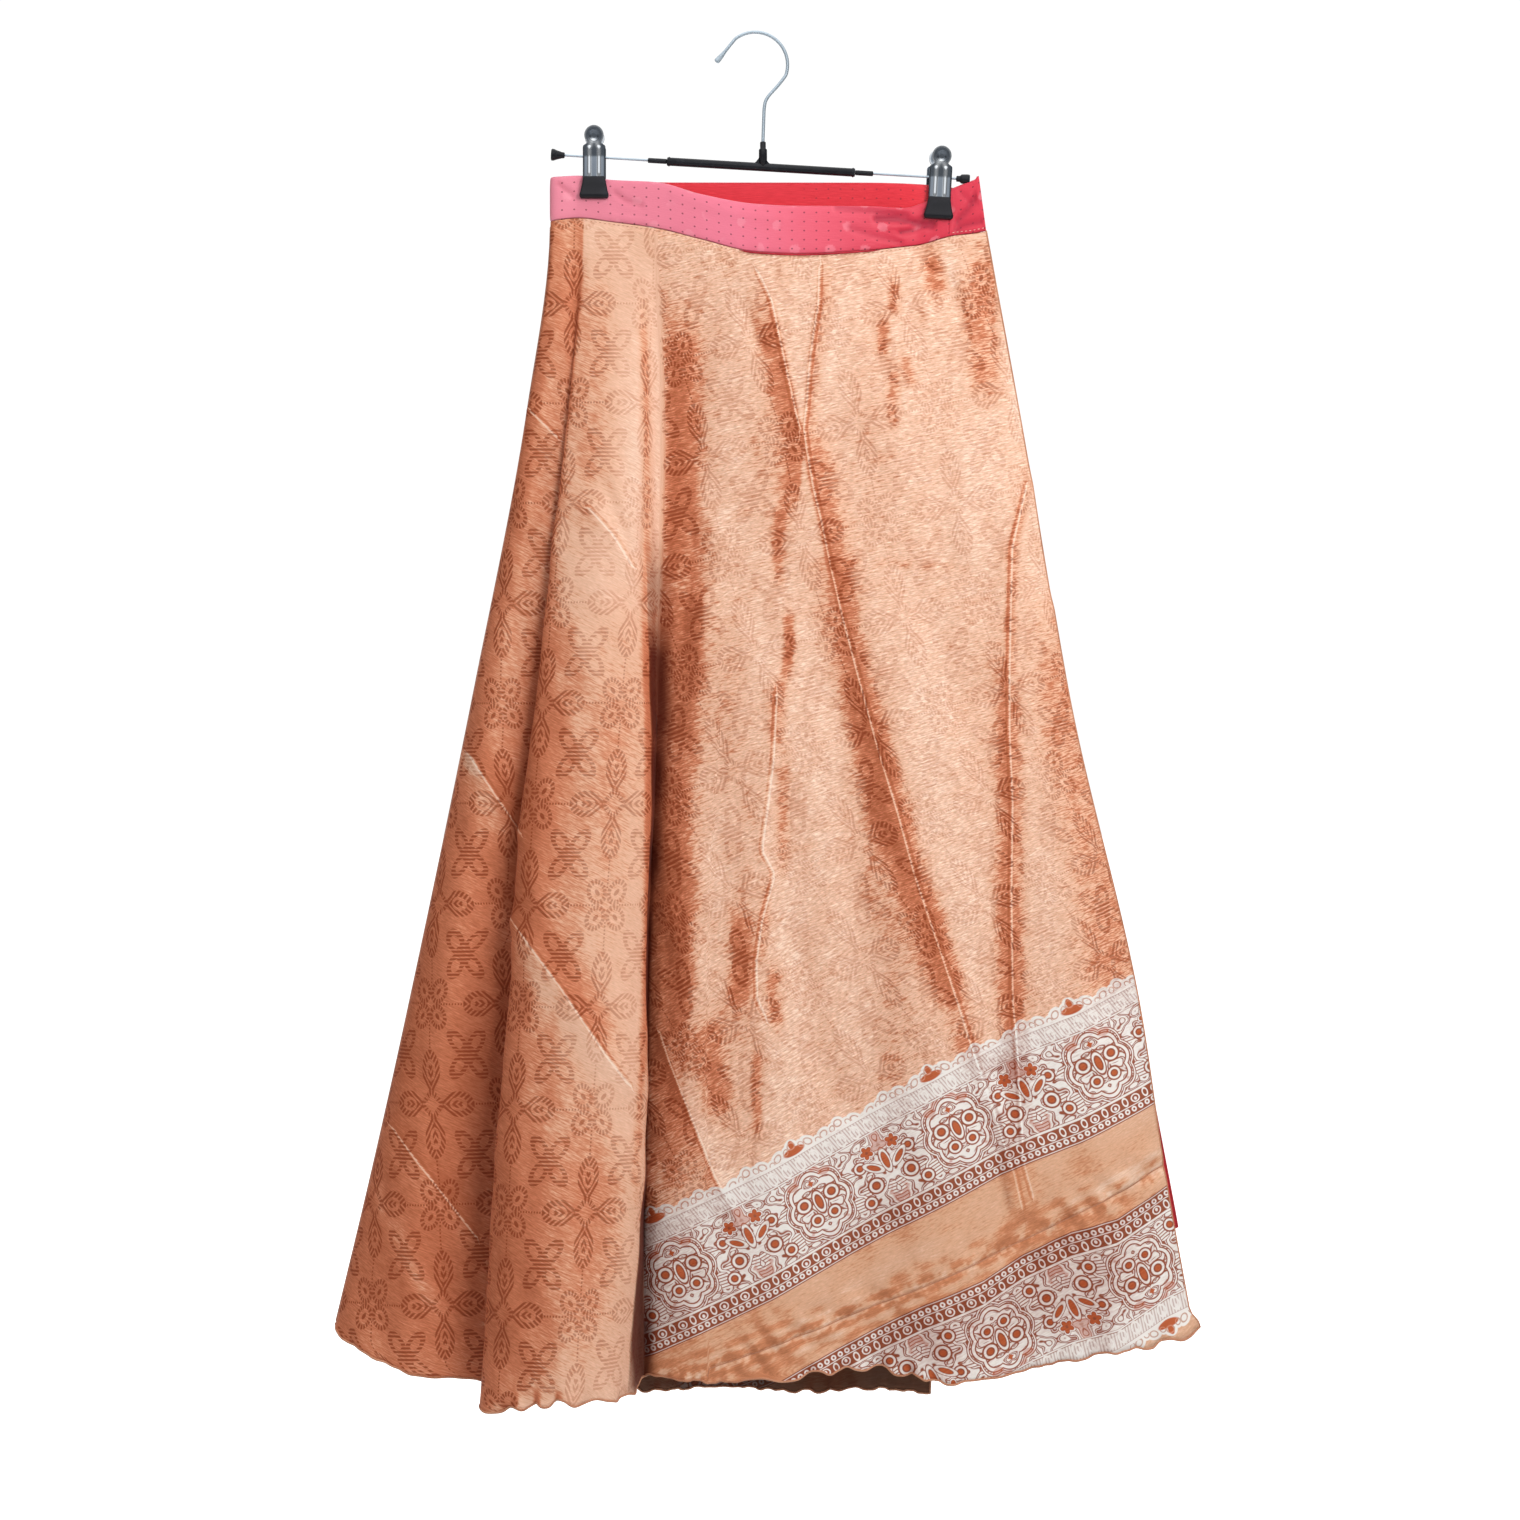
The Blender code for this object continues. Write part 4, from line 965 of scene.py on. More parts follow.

# line, height, width on its left and right, and for a pressed edge the side painted in shade:
# 1 right, -1 left
frontCreases = (
    (longCrease, 2.2, 20, 26, 1),
    (middleCrease[:5], 1.4, 10, 12, -1),
    (middleCrease[9:], 1.6, 12, 12, -1),
    (rightCrease, 1.8, 16, 13, -1),
    (lowerCrease, 1.4, 12, 10, -1),
    (((-122, -354), (-104, -374), (-90, -397)), 2.4, 7, 7, 1),
    (((-110, -337), (-90, -393)), -1.8, 7, 6, 0),
    (((-180, -655), (-141, -706), (-108, -755), (-91, -778)), 3.2, 10, 10, 1),
    (((-211, -536), (-192, -565), (-172, -594)), 2.4, 8, 8, 1),
    (((-166, -281), (-147, -300)), 1.8, 6, 6, 1),
    (((-269, -811), (-240, -847), (-206, -893)), 1.8, 8, 8, 1),
    (((-77, -200), (-74, -274), (-76, -348), (-79, -392)), -3.0, 7, 9, 0),
    (((-30, -190), (-52, -260), (-60, -330), (-58, -410)), -3.0, 18, 20, 0),
    (((129, -156), (140, -172), (151, -207)), -3.2, 5, 6, 0),
    (((142, -154), (152, -180), (163, -215)), 2.4, 5, 6, 0),
    (((118, -160), (122, -180), (128, -215)), 2.0, 6, 6, 0),
    (((162, -152), (171, -185), (176, -240)), -2.4, 5, 7, 0),
    (((-128, -146), (-131, -175), (-140, -220)), -1.8, 5, 6, 0),
    (((-20, -168), (-12, -195), (4, -235)), -1.6, 7, 7, 0),
    (((80, -168), (84, -200), (96, -260)), -1.4, 8, 9, 0),
    (((60, -300), (84, -360), (120, -420), (150, -500)), -1.6, 22, 26, 0),
    (((22, -560), (30, -640), (38, -720), (60, -800)), -2.2, 16, 20, 0),
    (((-38, -420), (-42, -520), (-46, -640), (-44, -760)), 2.0, 14, 18, 0),
    (((150, -300), (160, -380), (158, -470)), 2.0, 16, 14, 0),
    (((216, -430), (226, -540), (236, -650), (250, -760)), 2.2, 12, 14, 0),
    (((181, -798), (187, -842), (192, -868)), 1.8, 5, 4, 0),
)

# line, width on its left and right, and how much painted shade (below 0) or painted sheen (above 0)
# the satin gets there
frontSheen = (
    (middleCrease[1:7], 15, 2.5, -0.40),
    (((20, -350), (17, -380), (17, -413)), 5, 5, -0.32),
    (((24, -430), (25, -455), (22, -477)), 3.5, 5, -0.52),
    (((20, -478), (17, -500), (17, -530)), 7, 6, -0.32),
    (((21, -536), (20, -580), (21, -622)), 5, 5, -0.30),
    (((9, -628), (7, -660), (4, -688)), 4, 4, -0.25),
    (((-11, -652), (-10, -680), (-12, -722)), 8, 9, -0.40),
    (((14, -692), (12, -712), (16, -738)), 5, 7, -0.40),
    (((-32, -728), (-34, -760), (-27, -806)), 12, 12, -0.36),
    (((2, -752), (1, -780), (2, -818)), 4, 4, -0.36),
    (longCrease[:6], 2, 9, -0.32),
    (longCrease[5:11], 3, 18, -0.42),
    (longCrease[9:20], 19, 11, -0.42),
    (((128, -640), (140, -690), (152, -730)), 12, 10, -0.16),
    (longCrease[19:], 14, 4, -0.22),
    (rightCrease[:4], 4, 5, -0.32),
    (rightCrease[3:], 12, 10, -0.40),
    (((150, -740), (165, -760), (190, -770)), 10, 10, -0.25),
    (((-53, -208), (-54, -300), (-56, -400)), 13, 14, -0.42),
    (((-57, -390), (-59, -480), (-60, -560), (-58, -640), (-58, -700)), 22, 20, -0.34),
    (((-64, -690), (-66, -780), (-64, -840)), 14, 16, -0.17),
    (((-72, -206), (-71, -290), (-73, -360)), 2.6, 3, 0.05),
    (((-83, -200), (-81, -260), (-80, -330), (-80, -420)), 4, 3.5, -0.34),
    (((-84, -400), (-81, -450), (-78, -520), (-79, -640), (-83, -760), (-88, -860)), 3, 3, -0.30),
    (((-104, -400), (-103, -470), (-102, -606), (-101, -735)), 16, 13, -0.06),
    (((-122, -170), (-118, -260), (-112, -360)), 22, 17, -0.20),
    (((-100, -700), (-104, -801), (-108, -866), (-112, -1000)), 24, 16, -0.02),
    (((-110, -440), (-126, -560), (-134, -650), (-142, -780), (-148, -900), (-152, -1000)),
     44, 46, -0.24),
    (((-150, -420), (-163, -560), (-172, -650)), 14, 30, -0.12),
    (((-180, -655), (-141, -706), (-108, -755), (-96, -770)), 20, 1.0, 0.24),
    (((-112, -820), (-122, -900), (-134, -1000)), 60, 40, -0.14),
    (((-180, -655), (-141, -706), (-108, -755)), 0.8, 20, -0.24),
    (((-214, -532), (-192, -565), (-172, -594)), 22, 1.0, 0.16),
    (((-214, -532), (-192, -565), (-172, -594)), 1.0, 16, -0.16),
    (((-269, -811), (-240, -847), (-206, -893)), 14, 1.0, 0.14),
    (((-269, -811), (-240, -847), (-206, -893)), 1.0, 14, -0.12),
    (((-236, -740), (-246, -820), (-256, -960)), 30, 44, -0.10),
    (((186, -905), (240, -885), (310, -858)), 15, 15, -0.22),
    (((-170, -560), (-180, -660), (-196, -740), (-205, -800), (-212, -880), (-216, -1000)),
     26, 10, -0.20),
    (((-214, -560), (-236, -700), (-250, -820), (-262, -980)), 34, 30, -0.10),
    (((-269, -871), (-262, -900), (-248, -925), (-230, -950)), 7, 9, 0.24),
    (((-280, -850), (-276, -880)), 4, 5, 0.20),
    (((-214, -532), (-203, -550)), 6, 3, 0.34),
    (lowerCrease, 13, 1.5, -0.16),
    (lowerCrease, 1.5, 14, 0.16),
    (((168, -160), (168, -220), (172, -274)), 12, 11, -0.34),
    (((183, -160), (192, -240), (198, -300)), 5, 6, 0.22),
    (((104, -183), (102, -209)), 4, 4, -0.40),
    (((96, -213), (93, -239)), 4, 4, -0.40),
    (((109, -238), (118, -264)), 4, 4, -0.34),
    (((103, -247), (101, -294)), 4, 5, -0.34),
    (((130, -164), (135, -194)), 8, 8, -0.42),
    (((143, -166), (148, -190)), 3, 4, 0.25),
    (((46, -391), (100, -394), (157, -397)), 1.5, 1.5, -0.22),
    (((230, -430), (240, -520), (252, -600), (268, -690), (280, -740)), 30, 34, -0.33),
    (((-40, -880), (40, -905), (120, -865), (200, -830)), 14, 14, -0.12),
    (((-70, -960), (60, -970), (180, -925), (300, -880)), 60, 46, -0.17),
    (((-80, -1004), (-20, -1000), (40, -985)), 26, 30, -0.17),
    (((110, -990), (200, -945), (320, -905)), 34, 30, -0.22),
    (((60, -938), (110, -905), (150, -893)), 8, 8, 0.24),
    (((250, -858), (268, -850), (290, -842)), 6, 6, 0.20),
    (((225, -845), (262, -831), (300, -815)), 10, 10, -0.16),
    (((170, -905), (190, -880), (215, -868)), 6, 10, -0.28),
)

# line, width on its left and right, and how deep the painted shade on the cloth is there
frontPaintedShade = (
    (((-78, -385), (-76, -430), (-75, -480), (-74, -530)), 9, 14, 0.45),
    (((-76, -450), (-75, -500), (-74, -560)), 9, 12, 0.60),
    (((-76, -540), (-76, -590), (-77, -630)), 9, 8, 0.80),
    (((-76, -610), (-80, -700), (-82, -800), (-84, -900), (-86, -1000)), 9, 3, 0.95),
    (((-84, -950), (-83, -1008)), 8, 7, 0.75),
    (((-136, -230), (-139, -288), (-164, -507), (-185, -751), (-193, -882), (-201, -1013)),
     18, 1.0, 0.16),
    (((-206, -700), (-207, -790), (-210, -880)), 10, 9, 0.22),
    (((182, -836), (186, -850), (188, -868)), 2.5, 2.5, 0.30),
)


# in millimetres: how far past a line's ends a crease, a sheen or a pressed edge still shows,
# and the distance off a pressed edge over which it fades
lineLook = {"creaseEnd": 16, "sheenEnd": 12, "foldEnd": 6, "foldFar": 13, "foldNear": 9}


def offLine(points, x, z):
    # distance from the line, below 0 on its left, how far past its ends a place is, and its
    # share of the line
    points = np.asarray(points, float)
    nearest = np.full(x.shape, 1e9)
    signed, beyond, share = np.zeros(x.shape), np.zeros(x.shape), np.zeros(x.shape)
    total = runOf(points)[-1]
    before = 0.0
    for i, (start, end) in enumerate(zip(points, points[1:])):
        run = end - start
        length = np.hypot(*run)
        t = ((x - start[0]) * run[0] + (z - start[1]) * run[1]) / length**2
        kept = np.clip(t, 0, 1)
        gapX, gapZ = x - start[0] - kept * run[0], z - start[1] - kept * run[1]
        away = np.hypot(gapX, gapZ)
        side = np.sign(run[0] * gapZ - run[1] * gapX) * (-1 if run[1] > 0 else 1)
        past = np.zeros(x.shape)
        if i == 0:
            past = np.maximum(past, -t * length)
        if i == len(points) - 2:
            past = np.maximum(past, (t - 1) * length)
        closer = away < nearest
        nearest = np.where(closer, away, nearest)
        signed = np.where(closer, away * np.where(side == 0, 1, side), signed)
        beyond = np.where(closer, past, beyond)
        share = np.where(closer, (before + kept * length) / total, share)
        before += length
    return signed, beyond, share


def bell(value, wide):
    return np.exp(-((value / wide) ** 2))


def creased(creases, x, z):
    total = np.zeros(x.shape)
    for line, tall, left, right, dark in creases:
        signed, beyond, _ = offLine(line, x, z)
        share = np.abs(signed) / (np.where(signed < 0, left, right) * 0.8)
        form = np.exp(-share) if dark else np.exp(-(share**2))
        total += tall * form * bell(beyond, lineLook["creaseEnd"])
    return total


def sheenOf(strokes, x, z):
    total = np.zeros(x.shape)
    for line, left, right, amount in strokes:
        signed, beyond, run = offLine(line, x, z)
        share = np.abs(signed) / np.where(signed < 0, left, right)
        ends = 0.4 + 0.6 * smooth(0, 0.16, run) * smooth(1, 0.84, run)
        total += amount * ends * np.exp(-(share**3)) * bell(beyond, lineLook["sheenEnd"])
    return total


def foldOf(creases, x, z):
    # distance to the nearest pressed edge, below 0 on its side painted in shade, and how much it
    # counts; from these the satin paints a pale line on the edge and shade beside it
    fold, near = np.full(x.shape, 14.0), np.zeros(x.shape)
    for line, _, _, _, dark in creases:
        if dark:
            signed, beyond, _ = offLine(line, x, z)
            off = np.abs(signed)
            closer = off < np.abs(fold)
            counts = bell(beyond, lineLook["foldEnd"])
            counts = counts * smooth(lineLook["foldFar"], lineLook["foldNear"], off)
            fold = np.where(closer, -dark * signed, fold)
            near = np.where(closer, counts, near)
    return fold, near


keyWay = np.array((0.52, -0.82, 0.24))
keyWay /= np.linalg.norm(keyWay)


def facingKey(block, side):
    # how squarely the satin faces the key lamp, for a block of rows of equal length, which is
    # painted into its colour as sheen
    across, lower = np.gradient(block, axis=1), np.gradient(block, axis=0)
    out = np.cross(lower, across) * side
    out = out / np.maximum(np.linalg.norm(out, axis=2), 1e-9)[:, :, None]
    return 0.26 + 0.5 * smooth(0.22, 1.0, out @ (keyWay * (1, side, 1)))


def gathered(rows, marks, side, valuesOf):
    # each row's values by name, found from its points, column shares and shine
    found, start = {}, 0
    while start < len(rows):
        end = start
        while end < len(rows) and len(rows[end]) == len(rows[start]):
            end += 1
        shine = facingKey(np.array(rows[start:end]), side)
        for i in range(start, end):
            for label, values in valuesOf(rows[i], marks[i], shine[i - start]).items():
                found.setdefault(label, []).append(values)
        start = end
    return found


def slack(u, down):
    # how freely the cloth hangs: less at the band and the edges
    return smooth(0.03, 0.25, down) * smooth(0.0, 0.03, u) * smooth(1.0, 0.985, u)


def swelled(x, z, waves):
    return sum(amount * swells(x, z, *wave) for amount, *wave in waves)


# the share of the drop below which the hem's thread pulls the edge into waves, and the
# waves' lengths in millimetres
hemLook = {"start": 0.984, "wave": 34, "wander": ((9.0, 31), (5.0, 17)), "uneven": 53}


def lettuce(length, down, seed):
    # how far the hem's thread throws the edge in and out, and up and down
    start = hemLook["start"]
    near = np.clip((down - start) / (1 - start), 0, 1) ** 1.6
    pick = np.random.default_rng(seed)
    wander = sum(
        far * np.sin(length / wave + pick.uniform(0, 6)) for far, wave in hemLook["wander"]
    )
    size = 0.6 + 0.4 * np.sin(length / hemLook["uneven"] + pick.uniform(0, 6))
    phase = (length + wander) * 2 * math.pi
    out = 2.6 * size * np.sin(phase / hemLook["wave"]) + 0.5 * np.sin(phase / 15 + 1)
    lift = (
        2.3 * size * np.cos(phase / hemLook["wave"] + 0.6)
        + 0.7 * np.sin(phase / 55 + 2)
        + 0.3 * np.sin(phase / 13)
    )
    return out * near, lift * near


frontLook = {
    "columns": (92, 40, 44, 38, 28),
    "rows": 148,
    "fineRows": 13,
    "wedgeRows": 26,
    "seamStart": (-48.0, -993.0),
    "seamEnd": (299.5, -842.0),
    "seamSag": 9.0,
    "seamGap": 0.1,
    "wedgeLeast": 4.0,
    "hemLength": 900,
    "drape": ((1.1, 62, 210, 11), (0.5, 26, 60, 12)),
    "sheenSwell": (70, 240, 31),
    "guideGap": 0.006,
}
# painted sheen and shade in swells along the border's seam: amount, swell's width and height, seed
# and reach off the seam
seamSheen = ((0.38, 22, 8, 33, 15), (0.3, 7, 4, 35, 7))


def seamHeight(x):
    start, end = frontLook["seamStart"], frontLook["seamEnd"]
    share = (x - start[0]) / (end[0] - start[0])
    return start[1] + (end[1] - start[1]) * share - frontLook["seamSag"] * 4 * share * (1 - share)


def seamDown(u):
    share = np.full(len(u), 0.95)
    top = front.edge(curveThrough(front.knots, front.waist, u))[:, 2]
    for _ in range(6):
        share = np.clip((top - seamHeight(front.points(u, share)[:, 0])) / front.drop(u), 0.5, 1.0)
    return share


denseU = np.linspace(0, 1, 900)
denseSeam = seamDown(denseU)
denseTall = (1 - denseSeam) * front.drop(denseU)
wedgeU = denseU[int(np.argmax((denseTall > frontLook["wedgeLeast"]) & (denseU > 0.5)))]


def footDown(u):
    # where the front's main piece ends: at the hem, or at the seam over the border piece
    seam = np.interp(u, denseU, denseSeam)
    return np.where(u >= wedgeU, seam - frontLook["seamGap"] / front.drop(u), 1.0)


def guideShares(downs):
    # for each row, the column share where each long crease crosses it
    guides = []
    for crease in (middleCrease, longCrease, rightCrease):
        line = np.array(crease, float)
        found = np.full(len(downs), np.nan)
        for row, down in enumerate(downs):
            right = denseU > valleyShare
            u = denseU[right]
            place = front.points(u, down * footDown(u))
            wanted = np.interp(-place[:, 2], -line[:, 1], line[:, 0])
            off = place[:, 0] - wanted
            cross = int(np.argmax(off > 0))
            z = place[cross, 2]
            if cross and line[-1, 1] <= z <= line[0, 1]:
                share = -off[cross - 1] / (off[cross] - off[cross - 1])
                found[row] = u[cross - 1] + (u[cross] - u[cross - 1]) * share
        known = np.flatnonzero(~np.isnan(found))
        guides.append(np.interp(np.arange(len(downs)), known, found[known]))
    least = frontLook["guideGap"]
    for left, right in zip(guides, guides[1:]):
        right[:] = np.maximum(right, left + least)
    guides[2][:] = np.minimum(guides[2], 1 - 4 * least)
    guides[1][:] = np.minimum(guides[1], guides[2] - least)
    return np.array(guides)


def frontColumns(guides, finer):
    # one row's column shares, spread evenly between the creases
    stops = (0.0, valleyShare, *guides, 1.0)
    shares = [np.array([0.0])]
    for part, (low, high) in enumerate(zip(stops, stops[1:])):
        count = frontLook["columns"][part] * finer
        spread = crowded(count + 1, 0.02, 0.05) if part == 0 else np.linspace(0, 1, count + 1)
        shares.append(low + (high - low) * spread[1:])
    return np.concatenate(shares)


# the border's lower edge on the main piece and its dots on the border piece, by x and z
borderLine = (
    (-85, -967), (-77, -963), (13, -919), (98, -871), (183, -826), (239, -804), (296, -776),
    (330, -760),
)
lowerDots = (
    (-60, -1040), (41, -984), (84, -961), (126, -939), (168, -922), (197, -904), (233, -887),
    (267, -877), (304, -855), (330, -845),
)
borderLean = math.radians(26.6)
leanCos, leanSin = math.cos(borderLean), math.sin(borderLean)
borderFoot, wedgeShift = 16.8, 40  # the line's height in the border, and the lower one's start


def borderPlace(points, wedge):
    x, z = points[:, 0], points[:, 2]
    along = x * leanCos + z * leanSin
    line = np.array(lowerDots if wedge else borderLine, float)
    base = np.interp(x, line[:, 0], line[:, 1])
    if wedge:
        return np.column_stack((along + wedgeShift, (base - z) * leanCos))
    return np.column_stack((along, (z - base) * leanCos + borderFoot))


def frontShaped(u, down):
    # the places of columns u at shares down, with creases, gathers, pucker and hem
    base = front.points(u, down)
    x, z = base[:, 0], base[:, 2]
    push = creased(frontCreases, x, z) * smooth(0.0, 0.06, down)
    push = push * (0.25 + 0.75 * smooth(0.0, 0.02, u))
    push += swelled(x, z, frontLook["drape"]) * slack(u, down)
    nearBand = bell(z - np.interp(x, bandFront.rows[:, 0], bandFront.rows[:, 3]), 22.0)
    gather = np.sin(x / 4.1 + 2 * np.sin(x / 23))
    push += 0.7 * nearBand * gather * smooth(0.0, 0.02, down)
    off = z - seamHeight(x)
    pucker = bell(off, 20.0) * smooth(wedgeU - 0.01, wedgeU + 0.05, u)
    ripple = np.sin(x / 3.7 + 2.2 * np.sin(x / 19) + off * 0.24)
    ripple = ripple * (0.6 + 0.4 * np.sin(x / 41 + 1))
    push += pucker * (1.3 * ripple + 1.1 * np.sin(x / 8.3 + 1.4 - off * 0.19))
    sway, lift = lettuce(u * frontLook["hemLength"], down, 5)
    push += sway - 1.0 * bell(off, 3.0) * smooth(wedgeU, wedgeU + 0.04, u)
    # the red layer lies close behind the waist, the valley and the side
    room = 5.5 * smooth(0.02, 0.16, down) * smooth(0.02, 0.07, np.abs(u - valleyShare))
    push = np.maximum(push, -(0.5 + room * smooth(0.005, 0.04, u)))
    placed = base + front.outward(u, down) * push[:, None]
    corner = smooth(0.965, 1.0, u) * smooth(0.975, 1.0, down)
    placed[:, 2] += lift + 5.0 * corner
    placed[:, 0] += 6.0 * corner
    return placed


def frontValues(points, u, shine, wedge):
    x, z = points[:, 0], points[:, 2]
    leftPart = smooth(fluteEdgeShare + 0.004, fluteEdgeShare - 0.012, u)
    rightPart = smooth(valleyShare, valleyShare + 0.004, u)
    # painted sheen and shade: from facing the key lamp, darker on the outer left panel as if in the
    # flute's shade, then strokes and swells
    bright = shine * (1 - 0.55 * leftPart) + 0.06 * leftPart
    bright += sheenOf(frontSheen, x, z) + 0.05 * swells(x, z, *frontLook["sheenSwell"])
    off = z - seamHeight(x)
    for amount, across, tall, seed, wide in seamSheen:
        bright += amount * swells(x, off, across, tall, seed) * bell(off, wide) * rightPart
    fold, foldNear = foldOf(frontCreases, x, z)
    onFlute = smooth(fluteEdgeShare - 0.002, fluteEdgeShare + 0.003, u)
    onFlute = onFlute * smooth(fluteRightShare + 0.002, fluteRightShare - 0.002, u)
    band = borderPlace(points, wedge)
    printed = 1 - rightPart * smooth(60, 40, band[:, 1])
    return {
        "print": printPlace(points, u),
        "border": band,
        "lustre": np.clip(bright, 0.02, 1.0),
        "deep": np.clip(sheenOf(frontPaintedShade, x, z), 0, 0.92) * (1 - onFlute),
        "fold": fold,
        "foldNear": foldNear,
        "bordered": rightPart,
        "printed": np.zeros(len(u)) if wedge else printed,
    }


def turned(across, down, turn):
    return across * np.cos(turn) + down * np.sin(turn), down * np.cos(turn) - across * np.sin(turn)


def printPlace(points, u):
    # the lattice runs almost straight down the flute, and turned on the right of the valley
    run = runOf(points)
    crest, middle = np.interp((crestKnot, middleKnot), u, run)
    z = points[:, 2]
    if u[0] > valleyShare:
        middle = run[-1] - 330
    straight = run - crest - z * 0.02 + 27, z + 53
    leaning = turned(run - middle, z, np.radians(12 + 13 * smooth(-350, -850, z)))
    right = u > valleyShare
    return np.column_stack([np.where(right, *ways) for ways in zip(leaning, straight)])


def frontPiece(name, marks, downs, wedge, slot, node):
    rows = [frontShaped(u, down) for u, down in zip(marks, downs)]
    values = gathered(rows, marks, 1, lambda *row: frontValues(*row, wedge))
    keepPiece(name, sheetMesh(name, rows, values, 1), satin, slot, (node,))
    return rows


def buildFront():
    coarse, fine = frontLook["rows"], frontLook["fineRows"]
    shares = np.concatenate((np.linspace(0, 0.962, coarse), np.linspace(0.965, 1.0, fine)))
    guides = guideShares(shares)
    marks = [frontColumns(guides[:, i], 2 if i >= coarse else 1) for i in range(len(shares))]
    downs = [share * footDown(u) for u, share in zip(marks, shares)]
    rows = frontPiece("frontPanel", marks, downs, False, "satin", "front_panel")
    tip = int(np.argmax(marks[-1] > wedgeU)) - 1
    last = marks[-1][tip:]
    seam = np.interp(last, denseU, denseSeam) + frontLook["seamGap"] / front.drop(last)
    downs = [seam + (1 - seam) * share for share in np.linspace(0, 1, frontLook["wedgeRows"])]
    wedgeRows = frontPiece(
        "borderPiece", [last] * len(downs), downs, True, "border", "border_piece"
    )
    return {"rows": rows, "wedge": wedgeRows, "seam": rows[-1][tip:], "hemLeft": rows[-1][:tip + 1]}


skirtFront = buildFront()
print("skirt: front built")

backCreases = (
    (((-190, -260), (-215, -460), (-240, -700)), 2.6, 16, 14, -1),
    (((-60, -210), (-78, -380), (-92, -620), (-112, -880)), 2.6, 16, 18, 1),
    (((40, -220), (30, -420), (8, -640), (-10, -900)), 2.4, 14, 16, -1),
    (((110, -240), (104, -470), (92, -700)), 2.2, 12, 12, 1),
    (((-150, -560), (-118, -640)), 1.8, 8, 8, 1),
    (((60, -520), (84, -600)), 1.8, 8, 8, 1),
    (((-120, -170), (-130, -240)), -1.8, 6, 7, 0),
    (((120, -170), (118, -240)), -1.8, 6, 7, 0),
)
# painted shade beside the back's creases and painted sheen between them
backSheen = (
    (backCreases[0][0], 15, 8, -0.34),
    (backCreases[1][0], 8, 16, -0.38),
    (backCreases[2][0], 15, 6, -0.34),
    (backCreases[3][0], 5, 14, -0.32),
    (((-110, -250), (-134, -500), (-150, -760)), 16, 14, 0.16),
    (((0, -260), (-22, -520), (-50, -800)), 14, 16, 0.14),
    (((76, -300), (70, -560), (58, -840)), 14, 12, 0.14),
    (((-30, -190), (-34, -250)), 6, 7, -0.30),
    (((70, -190), (74, -240)), 6, 6, -0.26),
)
underCreases = (
    (((-120, -300), (-150, -600), (-170, -860)), 1.6, 16, 16, 0),
    (((30, -300), (40, -600), (50, -860)), 1.6, 16, 16, 0),
    (((180, -420), (230, -760)), 1.4, 12, 14, 0),
)


# how far and how large a hung panel's painted sheen swells, the turn of its print, and where by x
# its border starts
hungLook = {"sheenSwell": (70, 240, 32), "turn": math.radians(6), "border": (-62, -54)}


def hungValues(points, u, shine, look):
    x, z = points[:, 0], points[:, 2]
    # painted sheen and shade from facing the key lamp, the strokes and the swells
    bright = shine + sheenOf(look["sheen"], x, z) + 0.12 * swells(x, z, *hungLook["sheenSwell"])
    fold, foldNear = foldOf(look["creases"], x, z)
    run = runOf(points)
    height = (z + 1013 - (x - 11) * math.tan(borderLean)) * leanCos
    bordered = smooth(*hungLook["border"], x)
    return {
        "print": np.column_stack(turned(run - run[-1] / 2, z, hungLook["turn"])),
        "border": np.column_stack((x * leanCos + z * leanSin, height)),
        "lustre": np.clip(bright, 0.02, 1.0),
        "fold": fold,
        "foldNear": foldNear,
        "bordered": bordered,
        "printed": 1 - bordered * smooth(60, 40, height),
    }


def buildHung(name, panel, look, finishUsed, slot, node):
    # a plain flared panel, creased and ruffled along its hem
    coarse, seed = look["rows"], look["seed"]
    drape = ((1.2, 60, 220, seed), (0.5, 24, 60, seed + 1))
    shares = np.concatenate((np.linspace(0, 0.962, coarse), np.linspace(0.967, 1, 8)))
    rows, marks = [], []
    for i, share in enumerate(shares):
        u = crowded(look["columns"] * (2 if i >= coarse else 1) + 1)
        down = np.full(len(u), share)
        base, out = panel.points(u, down), panel.outward(u, down)
        x, z = base[:, 0], base[:, 2]
        push = creased(look["creases"], x, z) * smooth(0, 0.08, down) * smooth(0.0, 0.03, u)
        push += look["drape"] * swelled(x, z, drape) * slack(u, down)
        gather = np.sin(x / 4.3 + 2 * np.sin(x / 21))
        push += 0.5 * gather * np.exp(-((down * 40) ** 2)) * smooth(0, 0.01, down)
        sway, lift = lettuce(u * look["hemLength"], down, seed + 2)
        placed = base + out * (push + sway * look["ruffle"])[:, None]
        placed[:, 2] += lift * look["ruffle"]
        rows.append(placed)
        marks.append(u)
    values = gathered(rows, marks, panel.side, lambda *row: hungValues(*row, look))
    keepPiece(name, sheetMesh(name, rows, values, panel.side), finishUsed, slot, (node,))
    return rows


backLook = {
    "columns": 150,
    "rows": 110,
    "creases": backCreases,
    "sheen": backSheen,
    "drape": 1.0,
    "seed": 41,
    "hemLength": 900,
    "ruffle": 0.7,
}
underFrontLook = {
    "columns": 90,
    "rows": 70,
    "creases": underCreases,
    "sheen": (),
    "drape": 0.5,
    "seed": 51,
    "hemLength": 700,
    "ruffle": 0.5,
}
underBackLook = underFrontLook | {"columns": 80, "creases": (), "seed": 61, "hemLength": 650}
skirtBack = buildHung("backPanel", back, backLook, satinBack, "satin_back", "back_panel")
linerFront, linerBack = (
    buildHung(name, panel, look, underRed, "red_cloth", node)
    for name, panel, look, node in (
        ("underFront", underFront, underFrontLook, "under_front"),
        ("underBack", underBack, underBackLook, "under_back"),
    )
)
print("skirt: back and under layers built")
